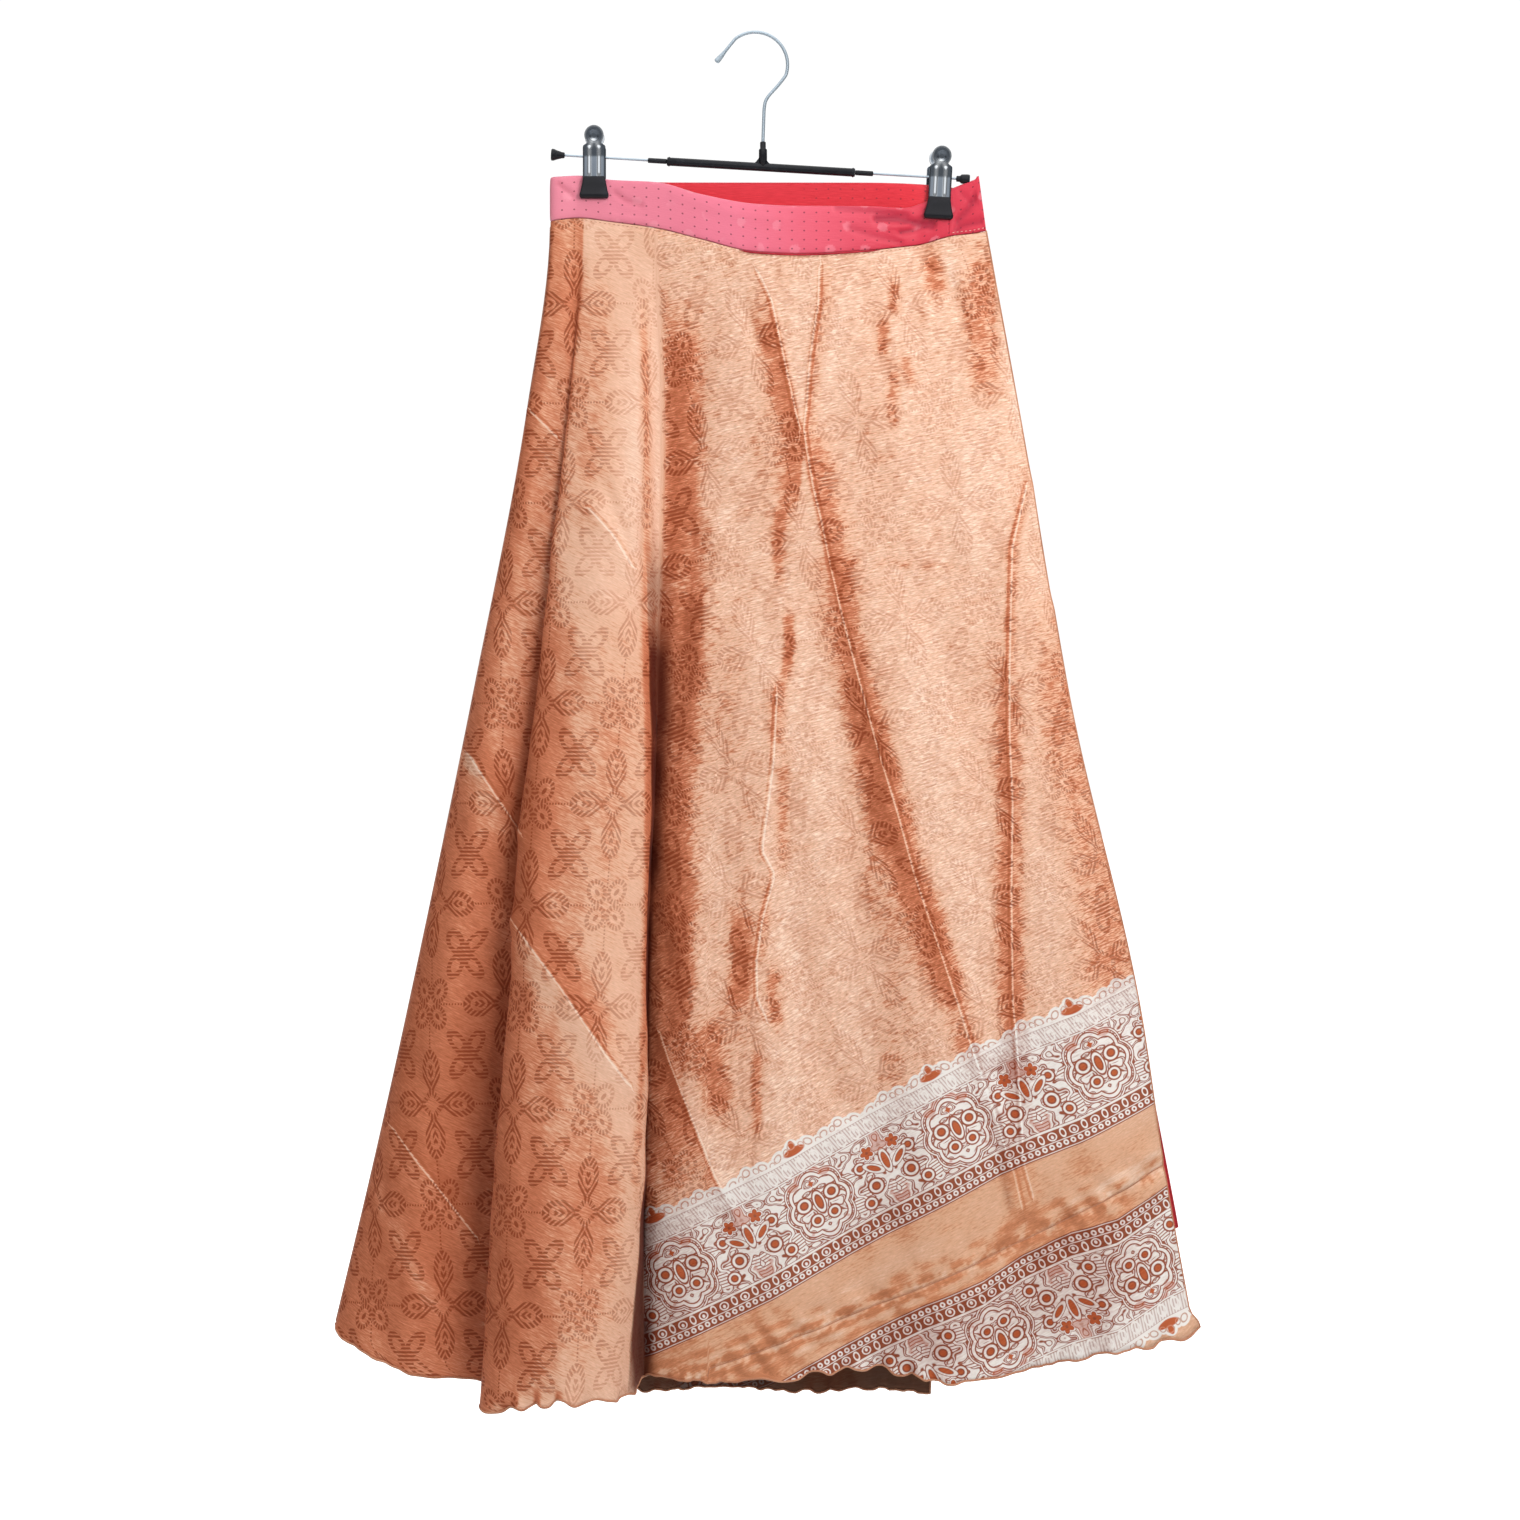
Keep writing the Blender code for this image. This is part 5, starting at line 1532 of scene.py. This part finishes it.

# millimetres; face is the points down each face, no wrinkle goes deeper than deepest, and a wrinkle
# as deep as darkest is painted in full shade
bandLook = {"thick": 2.2, "face": 14, "pillow": 0.5, "deepest": 1.8, "darkest": 2.4}
bandCreases = (
    (((60, -131), (84, -133), (112, -135)), -1.3, 3, 3, 0),
    (((90, -139), (104, -139), (118, -141), (131, -143)), -3.2, 2.8, 3.2, 0),
    (((108, -148), (120, -145), (132, -141)), -2.2, 2.5, 2.5, 0),
    (((96, -144), (110, -144), (126, -144)), 1.1, 2.5, 2.5, 0),
    (((70, -146), (90, -152), (108, -156)), -0.8, 2.5, 2.5, 0),
    (((150, -140), (157, -132), (163, -122)), -1.8, 2.5, 3, 0),
    (((149, -146), (158, -142), (168, -140)), -1.6, 2.5, 2.5, 0),
    (((152, -118), (158, -124), (166, -126)), -0.5, 2.5, 2.5, 0),
    (((-104, -118), (-96, -124), (-84, -128)), -0.8, 2.5, 2.5, 0),
    (((-106, -136), (-96, -138), (-80, -140)), 0.6, 2.5, 2.5, 0),
    (((-146, -112), (-136, -120)), -0.8, 2.5, 2.5, 0),
    (((-60, -120), (-20, -134), (20, -140)), 0.4, 5, 5, 0),
)


def bandSection():
    # share of the height from the top, and share of the half thickness, round the strip
    face = np.linspace(0.04, 0.96, bandLook["face"])
    loop = [(h, 1.0) for h in face]
    loop += [(0.985, 0.75), (1.0, 0.0), (0.985, -0.75)]
    loop += [(h, -1.0) for h in face[::-1]]
    loop += [(0.015, -0.75), (0.0, 0.0), (0.015, 0.75)]
    return np.array(loop).T


def bandStrip(name, line, side, first, last, count, wrinkles, lean, finishUsed, slot, node):
    # a closed strip, its last end leaning back at the top; its print runs from the left turn
    # and down from the top
    share = crowded(count) if first == 0 else np.linspace(0, 1, count)
    along = first + (last - first) * share
    place, out = line.at(along), line.outward(along, side)
    fall, depth = bandSection()
    around, facing = len(fall), depth > 0.5
    points, prints, shades = [], [], []
    for i in range(count):
        x, y, top, bottom = place[i]
        z = top - (top - bottom) * fall
        bulge = bandLook["pillow"] * (1 - (2 * fall - 1) ** 4) * np.sign(depth)
        ripple = creased(wrinkles, np.full(around, x), z) * facing
        # painted shade in the band's wrinkles, fullest in the deepest ones
        shades.append(np.clip(-ripple / bandLook["darkest"], 0, 1))
        ripple = np.maximum(ripple, -bandLook["deepest"])
        gather = 0.22 * np.sin(x / 3.7 + 2 * np.sin(x / 17))
        ripple += gather * bell(fall - 1, 0.16) * facing
        away = depth * bandLook["thick"] / 2 + bulge + ripple
        across = x - lean * (1 - fall) * smooth(last - 9, last, along[i])
        points.append(np.column_stack((across + out[i, 0] * away, y + out[i, 1] * away, z)))
        prints.append(np.column_stack((np.full(around, along[i]), (top - bottom) * fall)))
    data = meshOf(name, np.concatenate(points), tube(count, around, side < 0))
    setPlaces(data, "print", np.concatenate(prints))
    setValues(data, "shade", np.concatenate(shades))
    return keepPiece(name, data, finishUsed, slot, (node,))


bandSeam = float(np.interp(bandSeamX, bandFront.rows[:, 0], bandFront.knots))
backEnd, frontEnd = bandBack.length, bandFront.length
for name, line, side, first, last, count, wrinkles, lean, *kept in (
    ("bandFront", bandFront, 1, 0.0, bandSeam, 230, bandCreases, 0.0)
    + (bandPink, "band_pink", "band_front"),
    ("bandBack", bandBack, -1, 0.0, backEnd, 120, (), 0.0, bandRed, "band_red", "band_back"),
    ("tieRoot", bandFront, 1, bandSeam, frontEnd, 40, bandCreases, 5.5)
    + (bandPink, "band_red", "tie_front_root"),
):
    bandStrip(name, line, side, first, last, count, wrinkles, lean, *kept)

# each tie's x, its top, and how far behind the band's middle it hangs at each of the heights
tieLook = {
    "width": 21.0,
    "length": 600.0,
    "across": 9,
    "rows": 90,
    "thick": 1.0,
    "heights": (-760.0, -490.0, -285.0, -150.0, -105.0),
}
ties = (
    ("tieFront", 158.6, -120.0, (34.0, 22.0, 9.0, 0.7, 0.4), "tie_front", 71),
    ("tieBack", 103.0, -113.0, (52.0, 34.0, 18.5, 7.6, 6.4), "tie_back", 72),
)


def buildTie(name, x, top, away, node, phase):
    rows, prints = [], []
    side = np.linspace(-0.5, 0.5, tieLook["across"])
    for share in np.linspace(0, 1, tieLook["rows"]):
        z = top - tieLook["length"] * share
        y = float(curveThrough(tieLook["heights"], away, [z])[0])
        free = min(1.0, share * 6)
        curl = 1.2 * free * (side * 2) ** 2 * math.sin(share * 7 + phase)
        sway = 1.5 * free * math.sin(share * 9 + phase * 2)
        wide = tieLook["width"] * (0.84 + 0.16 * min(1.0, share * 8))
        rows.append(np.column_stack((x + side * wide + sway, y + curl, np.full(len(side), z))))
        prints.append(np.column_stack((side * tieLook["width"] + 150, np.full(len(side), -z))))
    data = sheetMesh(name, rows, {"print": prints}, 1, tieLook["thick"])
    keepPiece(name, data, bandRed, "band_red", (node,))


for tie in ties:
    buildTie(*tie)
print("skirt: band and ties built")


def tapered(line, radius):
    # a cord's width and depth that thins out towards both ends
    along = np.arange(len(line)) * math.dist(line[0], line[1])
    thin = 0.25 + 0.75 * smooth(0, 9.0, np.minimum(along, along[-1] - along))
    return np.column_stack((radius * thin, radius * thin))


def solidPiece(name, shape, finishUsed, slot, *nodes):
    return keepPiece(name, meshOf(name, *shape), finishUsed, slot, nodes)


def edgePiece(name, lines, radius, finishUsed, slot, sides=6, taper=False):
    # a rolled edge or piping along one or more lines
    sizes = [tapered(line, radius) if taper else radius for line in lines]
    parts = [sweep(line, size, sides) for line, size in zip(lines, sizes)]
    return solidPiece(name, joined(parts), finishUsed, slot)


def edgeOf(rows, step):
    # the free edge of a panel's rows
    return evened(np.array([row[-1] for row in rows]), step)


hems = [evened(row, 2.0) for row in (skirtFront["hemLeft"], skirtFront["wedge"][-1], skirtBack[-1])]
freeEdges = [edgeOf(skirtFront["rows"] + skirtFront["wedge"][1:], 2.5), edgeOf(skirtBack, 2.5)]
edgePiece("hemRoll", hems, 0.9, threadTan, "satin")
edgePiece("wrapEdgeRoll", freeEdges, 0.7, threadTan, "satin")
stitched("hemOverlock", hems, 2.3, (0.32, 1.25, 0.45), (0.5, 0.0, 0.0), threadTan, "satin")

seamRidge = evened((skirtFront["seam"] + skirtFront["wedge"][0]) / 2, 2.0)
edgePiece("borderSeam", [seamRidge], 0.65, threadTan, "border")

sideSpots = np.zeros(60), np.linspace(0.005, 0.995, 60)
sidePoints = (front.points(*sideSpots) + back.points(*sideSpots)) / 2
edgePiece("sideSeamWelt", [sidePoints], 0.9, threadTan, "satin")

liners = (linerFront, linerBack)
linerEdges = [evened(rows[-1], 3.0) for rows in liners] + [edgeOf(rows, 4.0) for rows in liners]
edgePiece("underHemRoll", linerEdges, 0.7, threadRed, "red_cloth", 5)


def bandRow(line, first, last, share, away):
    # a line on the band's face, at a share of its height from the top
    along = np.arange(first, last, 2.0)
    place, out = line.at(along), line.outward(along, 1)
    z = place[:, 2] + (place[:, 3] - place[:, 2]) * share
    return np.column_stack((place[:, 0] + out[:, 0] * away, place[:, 1] + out[:, 1] * away, z))


faceAway = bandLook["thick"] / 2 + bandLook["pillow"] * 0.5
piping = bandRow(bandFront, 141, 246, 1.02, 1.3)
edgePiece("bandPiping", [piping], 0.75, pipingRed, "band_red", 8, True)
footRow = bandRow(bandFront, 4, bandSeam - 2, 1.06, 1.5)
topRow = bandRow(bandBack, 6, backEnd - 4, 0.07, -faceAway)
rootRow = bandRow(bandFront, bandSeam + 3, frontEnd - 2, 0.94, faceAway)
for name, row, spacing, size, thread, slot in (
    ("bandFootStitch", footRow, 3.4, (0.22, 0.22, 1.1), threadTan, "satin"),
    ("bandBackTopStitch", topRow, 3.2, (0.2, 0.2, 1.0), threadRed, "band_red"),
    ("tieRootStitch", rootRow, 3.0, (0.25, 0.25, 0.9), threadPale, "band_red"),
):
    stitched(name, [row], spacing, size, (0, 0, 0), thread, slot)
print("skirt: edges and sewing built")

hookLook = {
    "stem": ((5.9, -80.0), (6.4, -65.0), (6.8, -53.5), (8.6, -47.5), (17.1, -38.5)),
    "eye": (0, -22.95),
    "radius": 24.2,
    "turn": (-20, 128),
    "tip": ((-25.2, -16.8), (-28.2, -20.1)),
    "wire": 1.25,
    "tipWider": (0.9, -0.55),  # across and in depth, at the flattened tip
}


def buildHook():
    look = hookLook
    turn = np.radians(np.linspace(*look["turn"], 60))
    arc = np.column_stack((np.cos(turn), np.sin(turn))) * look["radius"] + look["eye"]
    route = np.concatenate((look["stem"], arc, look["tip"]))
    for _ in range(2):
        # each corner is cut, which rounds the bends
        cut = np.empty((2 * len(route) - 2, 2))
        cut[0::2] = route[:-1] * 0.75 + route[1:] * 0.25
        cut[1::2] = route[:-1] * 0.25 + route[1:] * 0.75
        route = np.concatenate((route[:1], cut, route[-1:]))
    points = evened(np.insert(route, 1, 0.0, axis=1), 1.6)
    tip = smooth(-7, 0, np.arange(len(points)) - len(points) + 1.0)
    radii = look["wire"] + np.outer(tip, look["tipWider"])
    solidPiece("hookWire", sweep(points, radii, 14), hookSteel, "steel", "hook")


barLook = {
    "left": (-146.4, -90.0),
    "right": (154.5, -107.9),
    "sleeve": (-65.4, 74.3, 3.1),
    "rings": (1.6, 138.4),
    "capHalf": 5.0,
}
barLeft, barRight = np.array(barLook["left"]), np.array(barLook["right"])
barTilt = math.atan2(barLeft[1] - barRight[1], barRight[0] - barLeft[0])
barWay = np.array((math.cos(barTilt), 0.0, -math.sin(barTilt)))


def barPoint(x):
    share = (x - barLeft[0]) / (barRight[0] - barLeft[0])
    return np.array((x, 0.0, barLeft[1] + (barRight[1] - barLeft[1]) * share))


def latheAlong(start, way, profile, sides=28):
    # a turned piece: profile is rows of radius and distance along way
    way = np.asarray(way, float) / np.linalg.norm(way)
    side = np.array((0.0, 1.0, 0.0))
    side = side - way * (side @ way)
    side /= np.linalg.norm(side)
    other = np.cross(way, side)
    turn = np.linspace(0, 2 * math.pi, sides, endpoint=False)
    ring = np.outer(np.cos(turn), side) + np.outer(np.sin(turn), other)
    rings = [np.asarray(start) + way * far + ring * radius for radius, far in profile]
    return np.concatenate(rings), tube(len(profile), sides)


def barPiece(firstX, lastX, radius, rings=()):
    start, far = barPoint(firstX), math.dist(barPoint(firstX), barPoint(lastX))
    edge, raised = min(0.5, radius * 0.3), radius + 0.45
    profile = [(radius - edge, 0.0), (radius - edge * 0.3, edge * 0.3), (radius, edge)]
    for at in rings:
        profile += [(radius, at - 0.8), (raised, at - 0.4), (raised, at + 0.4), (radius, at + 0.8)]
    profile += [(radius, far - edge), (radius - edge * 0.3, far - edge * 0.3), (radius - edge, far)]
    return latheAlong(start, barWay, profile)


socketLook = {"x": 5.9, "top": -80.3, "radius": 3.1, "webHalf": 1.1, "webs": ((-1, 10.5), (1, 7.5))}


def buildSocket():
    # sleeve, post and two small webs, joined as one moulding
    look = socketLook
    sleeve = barPiece(*barLook["sleeve"], rings=barLook["rings"])
    seat, wide = barPoint(look["x"]), look["radius"]
    high = look["top"] - seat[2]
    steps = ((2.95, 5.6), (2.2, 4.9), (2.2, 0.5), (1.9, 0))
    profile = [(wide, 0), (wide, high - 6.2)] + [(radius, high - off) for radius, off in steps]
    parts = [sleeve, latheAlong(seat, (0, 0, 1), profile)]
    for side, rise in look["webs"]:
        ridge = [(side * 1.0, 1.0)]
        for t in np.radians(np.linspace(0, 90, 7)):
            across, up = rise * (1 - math.sin(t)), rise * (1 - math.cos(t))
            ridge.append((side * (2.0 + across), 1.0 + up))
        ridge.append((side * 1.0, 1.0 + rise))
        count = len(ridge)
        near = [(seat[0] + x, -look["webHalf"], seat[2] + z) for x, z in ridge]
        far = [(x, look["webHalf"], z) for x, _, z in near]
        walls = [(i, (i + 1) % count, count + (i + 1) % count, count + i) for i in range(count)]
        caps = [(0, i, i + 1) for i in range(1, count - 1)]
        behind = [tuple(count + i for i in cap[::-1]) for cap in caps]
        parts.append((near + far, walls + caps + behind))
    data = meshOf("hookSocket", *joined(parts))
    cleaned = bmesh.new()
    cleaned.from_mesh(data)
    bmesh.ops.recalc_face_normals(cleaned, faces=cleaned.faces)
    cleaned.to_mesh(data)
    cleaned.free()
    keepPiece("hookSocket", data, moulded, "black_plastic", ("socket",))


def buildBar():
    half = barLook["capHalf"]
    wireLeft, wireRight = barLeft[0] + half - 0.5, barRight[0] - half + 0.5
    for name, first, last, radius, used, slot, node in (
        ("sleeveLeft", -79.5, -65.5, 1.9, moulded, "black_plastic", "thin_sleeve_left"),
        ("sleeveRight", 74.4, 87.7, 1.9, moulded, "black_plastic", "thin_sleeve_right"),
        ("barWireLeft", wireLeft, -79.0, 0.9, hookSteel, "steel", "bar_wire_left"),
        ("barWireRight", 87.2, wireRight, 0.9, hookSteel, "steel", "bar_wire_right"),
    ):
        solidPiece(name, barPiece(first, last, radius), used, slot, node)
    flare = (
        (3.9, 0), (4.4, 0.5), (4.4, 2.0), (4.0, 2.8), (3.2, 5.0), (2.7, 7.0), (2.4, 7.6),
        (2.2, 9.5), (1.9, 10),
    )
    stub = (
        (3.1, 0), (3.6, 0.5), (3.7, 2.0), (3.5, 5.6), (3.2, 6.6), (2.4, 7.2), (2.3, 8.0),
        (2.2, 9.5), (1.9, 10),
    )
    for name, end, way, profile, node in (
        ("endCapLeft", barLeft, barWay, flare, "end_cap_left"),
        ("endCapRight", barRight, -barWay, stub, "end_cap_right"),
    ):
        cap = latheAlong(barPoint(end[0]) - way * half, way, profile)
        solidPiece(name, cap, moulded, "black_plastic", node)


# heights are above the bar; depths are a plate's distance from the clip's middle by height
clipLook = {
    "width": 16.4,
    "neckHalf": 5.2,
    "neckDown": 12.4,
    "headTop": 22.4,
    "headRadius": 7.2,
    "foot": -15.6,
    "plate": 0.8,
    "columns": 33,
    "depths": ((-15.6, 4.95), (-6.0, 4.45), (0.0, 4.15), (8.0, 5.35), (22.4, 9.15)),
}
springLook = {"turns": 11, "steps": 14, "half": 6.4, "radius": 2.75, "wire": 0.52}


def clipHalf(height):
    look, down = clipLook, clipLook["headTop"] - height
    if down > look["neckDown"]:
        rise = smooth(look["neckDown"], look["neckDown"] + 2.5, down)
        return look["neckHalf"] + (look["width"] / 2 - look["neckHalf"]) * rise
    across = look["headRadius"] ** 2 - (down - look["headRadius"]) ** 2
    return math.sqrt(max(across, 0.8**2))


def plateRow(columns, height, side):
    # a row's places across, its depths, and its painted reflection: how much it is painted as
    # glinting
    across = columns * clipHalf(height)
    away = np.full(len(columns), np.interp(height, *zip(*clipLook["depths"])))
    if side < 0:
        ribs = np.exp(-(((np.abs(columns) - 0.44) / 0.13) ** 4))
        away += 0.75 * ribs * smooth(8.2, 5.8, height) * smooth(-15.2, -12.8, height)
    head = np.hypot(across, height - 15.2)
    away -= 1.0 * smooth(3.9, 2.2, head) - 0.35 * bell(head - 4.3, 0.7)
    away -= 1.1 * smooth(0.86, 1.0, np.abs(columns)) * smooth(9.0, 6.0, height)
    # painted reflections: bright ribs, shoulder spots, a glint under the head and a ring round it
    gleam = np.exp(-(((np.abs(columns) - 0.42) / 0.17) ** 4)) * smooth(9.0, 6.5, height) * 0.7
    gleam += bell(np.abs(across) - 2.5, 1.6) * bell(height - 8.6, 1.7)
    gleam += bell(across + 0.8, 2.4) * bell(height - 11.6, 1.5)
    gleam += 0.6 * smooth(5.6, 6.9, head) * smooth(9.0, 12.0, height)
    return across, away, np.clip(gleam, 0, 1)


def buildClip(label, x, lean, offCentre):
    seat, look = barPoint(x), clipLook
    cos, sin = math.cos(lean), math.sin(lean)
    node = f"clip_{label.lower()}"

    def placed(points):
        x, y, z = np.asarray(points, float).T
        return np.column_stack((x * cos + z * sin, y, z * cos - x * sin)) + seat

    dome = look["headRadius"] * (1 - np.cos(np.linspace(0, math.pi / 2, 10)))
    shaft = np.concatenate((np.linspace(14.4, 8, 10), np.linspace(7, look["foot"], 26)))
    heights = np.concatenate((look["headTop"] - dome, shaft))
    columns = np.linspace(-1, 1, look["columns"])
    for face, side, shift in (("Front", -1, 0.0), ("Back", 1, offCentre)):
        rows, gleams = [], []
        for height in heights:
            across, away, gleam = plateRow(columns, height, side)
            level = np.full(len(columns), height)
            rows.append(placed(np.column_stack((across + shift, side * away, level))))
            gleams.append(gleam)
        name = f"clip{label}Plate{face}"
        sheet = meshOf(name, np.concatenate(rows), sheetFaces(rows))
        setValues(sheet, "gleam", np.concatenate(gleams))
        plate = shelled(sheet, look["plate"])
        keepPiece(name, plate, clipChrome, "chrome", (f"{node}_plate_{face.lower()}",))
        buildTip(f"clip{label}Tip{face}", side, placed, f"{node}_tip_{face.lower()}")
    coil = springLook
    turns = np.linspace(0, 2 * math.pi * coil["turns"], coil["turns"] * coil["steps"])
    run = np.linspace(-coil["half"], coil["half"], len(turns))
    wound = np.column_stack((run, coil["radius"] * np.cos(turns), coil["radius"] * np.sin(turns)))
    spring = sweep(placed(wound), coil["wire"], 7)
    solidPiece(f"clip{label}Spring", spring, clipChrome, "chrome", f"{node}_barrel")


# height, half width and thickness of each section of a rubber tip
tipSections = (
    (-15.0, 8.0, 2.6),
    (-15.4, 8.3, 3.3),
    (-16.4, 8.4, 3.6),
    (-21.0, 9.1, 3.7),
    (-25.5, 10.1, 3.8),
    (-27.6, 10.7, 4.2),
    (-28.4, 10.9, 4.4),
    (-29.6, 10.9, 4.2),
    (-30.8, 10.4, 3.6),
    (-31.4, 9.6, 2.6),
)
tipLook = {"around": 20, "gap": 3.2, "wideRound": 0.28, "deepRound": 0.4}


def buildTip(name, side, placed, node):
    # a rubber jaw cover: rounded sections that flare towards the foot
    around = tipLook["around"]
    angle = 2 * math.pi * np.arange(around) / around
    cos, sin = np.cos(angle), np.sin(angle)
    wide = np.copysign(np.abs(cos) ** tipLook["wideRound"], cos)
    deep = np.copysign(np.abs(sin) ** tipLook["deepRound"], sin)
    rings = []
    for height, half, thick in tipSections:
        away = side * (tipLook["gap"] + thick / 2 * (1 + deep))
        rings.append(np.column_stack((wide * half, away, np.full(around, height))))
    shape = placed(np.concatenate(rings)), tube(len(rings), around, side < 0)
    solidPiece(name, shape, rubber, "black_rubber", node)




buildHook()
buildSocket()
buildBar()
buildClip("Left", -119.3, 0.0, 0.0)
buildClip("Right", 137.6, math.radians(3.2), -1.6)
print("skirt: hanger built")


def surfaceOf(piece):
    # a shell's area on one side
    return sum(face.area for face in piece.data.polygons) / 2


# each piece's cut in metres and what it hangs from
cuts = {
    "frontPanel": ((0.90, 0.86), "bandFront"),
    "borderPiece": ((0.42, 0.16), "frontPanel"),
    "backPanel": ((0.90, 0.88), "bandBack"),
    "underFront": ((0.72, 0.79), "bandFront"),
    "underBack": ((0.64, 0.80), "bandBack"),
    "bandFront": ((0.303, 0.034), "clipLeftTipFront"),
    "bandBack": ((0.303, 0.034), "clipLeftTipBack"),
    "tieRoot": ((0.028, 0.036), "bandFront"),
    "tieFront": ((0.021, 0.60), "tieRoot"),
    "tieBack": ((0.021, 0.60), "bandBack"),
}
wholeShare = 0.97  # of its rectangle: above this share a piece's area is set to none, as for a cut of the whole rectangle; the area is not used afterwards
for name, (flat, rests) in cuts.items():
    area, whole = surfaceOf(made[name]), flat[0] * flat[1]
    share = area / whole
    print(f"cut {name}: area {area:.4f}, share of its rectangle {share:.2f}")
    area = min(area, whole) if share < wholeShare else None

scene = bpy.context.scene
scene.view_settings.view_transform = "Standard"
floorHalf, floorLevel = 30000, -1250
corners = ((-1, -1), (1, -1), (1, 1), (-1, 1))
floorPoints = [(x * floorHalf, y * floorHalf, floorLevel) for x, y in corners]
floorData = meshOf("floor", floorPoints, [(0, 1, 2, 3)])
floor = bpy.data.objects.new("floor", floorData)
scene.collection.objects.link(floor)
floorFinish, floorTree, floorShader = finish("pale floor", 0.9)
greys = ((0.3, (0.66, 0.66, 0.66, 1)), (0.7, (0.70, 0.70, 0.70, 1)))
join(ramp(noise(placeOf(floorTree), 3.0), greys), floorShader.inputs["Base Color"])
# the floor is seen as white, while it lights the cloth no more than paper does
glow = floorTree.nodes.new("ShaderNodeLightPath")
floorShader.inputs["Emission Color"].default_value = (1, 1, 1, 1)
seen = Field(floorTree, glow.outputs["Is Camera Ray"])
join(seen * 0.9, floorShader.inputs["Emission Strength"])
floorData.materials.append(floorFinish)

world = bpy.data.worlds.new("studio")
scene.world = world
world.use_nodes = True
sky = world.node_tree
skyLook = {"cloth": 0.42, "metal": 1.25, "camera": 1.05, "asideFrom": 0.62, "asideSoft": 0.5}


def skyLight(strength):
    light = sky.nodes.new("ShaderNodeBackground")
    light.inputs["Color"].default_value = (1, 1, 1, 1)
    join(strength, light.inputs["Strength"])
    return light.outputs[0]


def chosen(factor, first, second):
    mix = sky.nodes.new("ShaderNodeMixShader")
    for plug, socket in zip(mix.inputs, (factor, first, second)):
        sky.links.new(socket, plug)
    return mix.outputs[0]


# the metal sees a room that darkens to its sides and low down, the camera a white wall
ray, heading, split = (
    sky.nodes.new(f"ShaderNode{kind}") for kind in ("LightPath", "TexCoord", "SeparateXYZ")
)
sky.links.new(heading.outputs["Generated"], split.inputs[0])
aside = Field(sky, split.outputs[0]).do("ABSOLUTE")
aside = aside.above(skyLook["asideFrom"], skyLook["asideSoft"])
height = Field(sky, split.outputs[2]).do("MULTIPLY_ADD", 2.6, 0.46, clamp=True)
mirrored = skyLight(height * (aside * -0.75 + 1) * skyLook["metal"])
room = chosen(ray.outputs["Is Glossy Ray"], skyLight(skyLook["cloth"]), mirrored)
wall = chosen(ray.outputs["Is Camera Ray"], room, skyLight(skyLook["camera"]))
sky.links.new(wall, sky.nodes["World Output"].inputs["Surface"])


def lamp(name, place, aim, power, wide):
    data = bpy.data.lights.new(name, "AREA")
    data.energy, data.size = power, wide
    holder = bpy.data.objects.new(name, data)
    holder.location = place
    holder.rotation_euler = (Vector(aim) - Vector(place)).to_track_quat("-Z", "Y").to_euler()
    # the metal mirrors only the room, which keeps thin wire free of specks
    holder.visible_glossy = False
    scene.collection.objects.link(holder)


lamp("key", (0.9, -1.3, 0.4), (0, 0, -0.25), 21, 0.9)
lamp("fill", (-2.0, -2.2, 0.2), (0, 0, -0.4), 8, 1.8)
lamp("behind", (-1.2, 2.6, 0.8), (0, 0, -0.5), 40, 2.0)
lamp("overhead", (0.2, -0.6, 2.2), (0, 0, -0.4), 16, 1.6)

camera = bpy.data.objects.new("camera", bpy.data.cameras.new("camera"))
camera.location = (0.0037, -2.6, -0.5394)
camera.rotation_euler = (math.radians(90), 0, 0)
camera.data.lens = 82.9
camera.data.sensor_width = 36.0
camera.data.clip_start = 0.05
scene.collection.objects.link(camera)
scene.camera = camera

print("skirt: done")
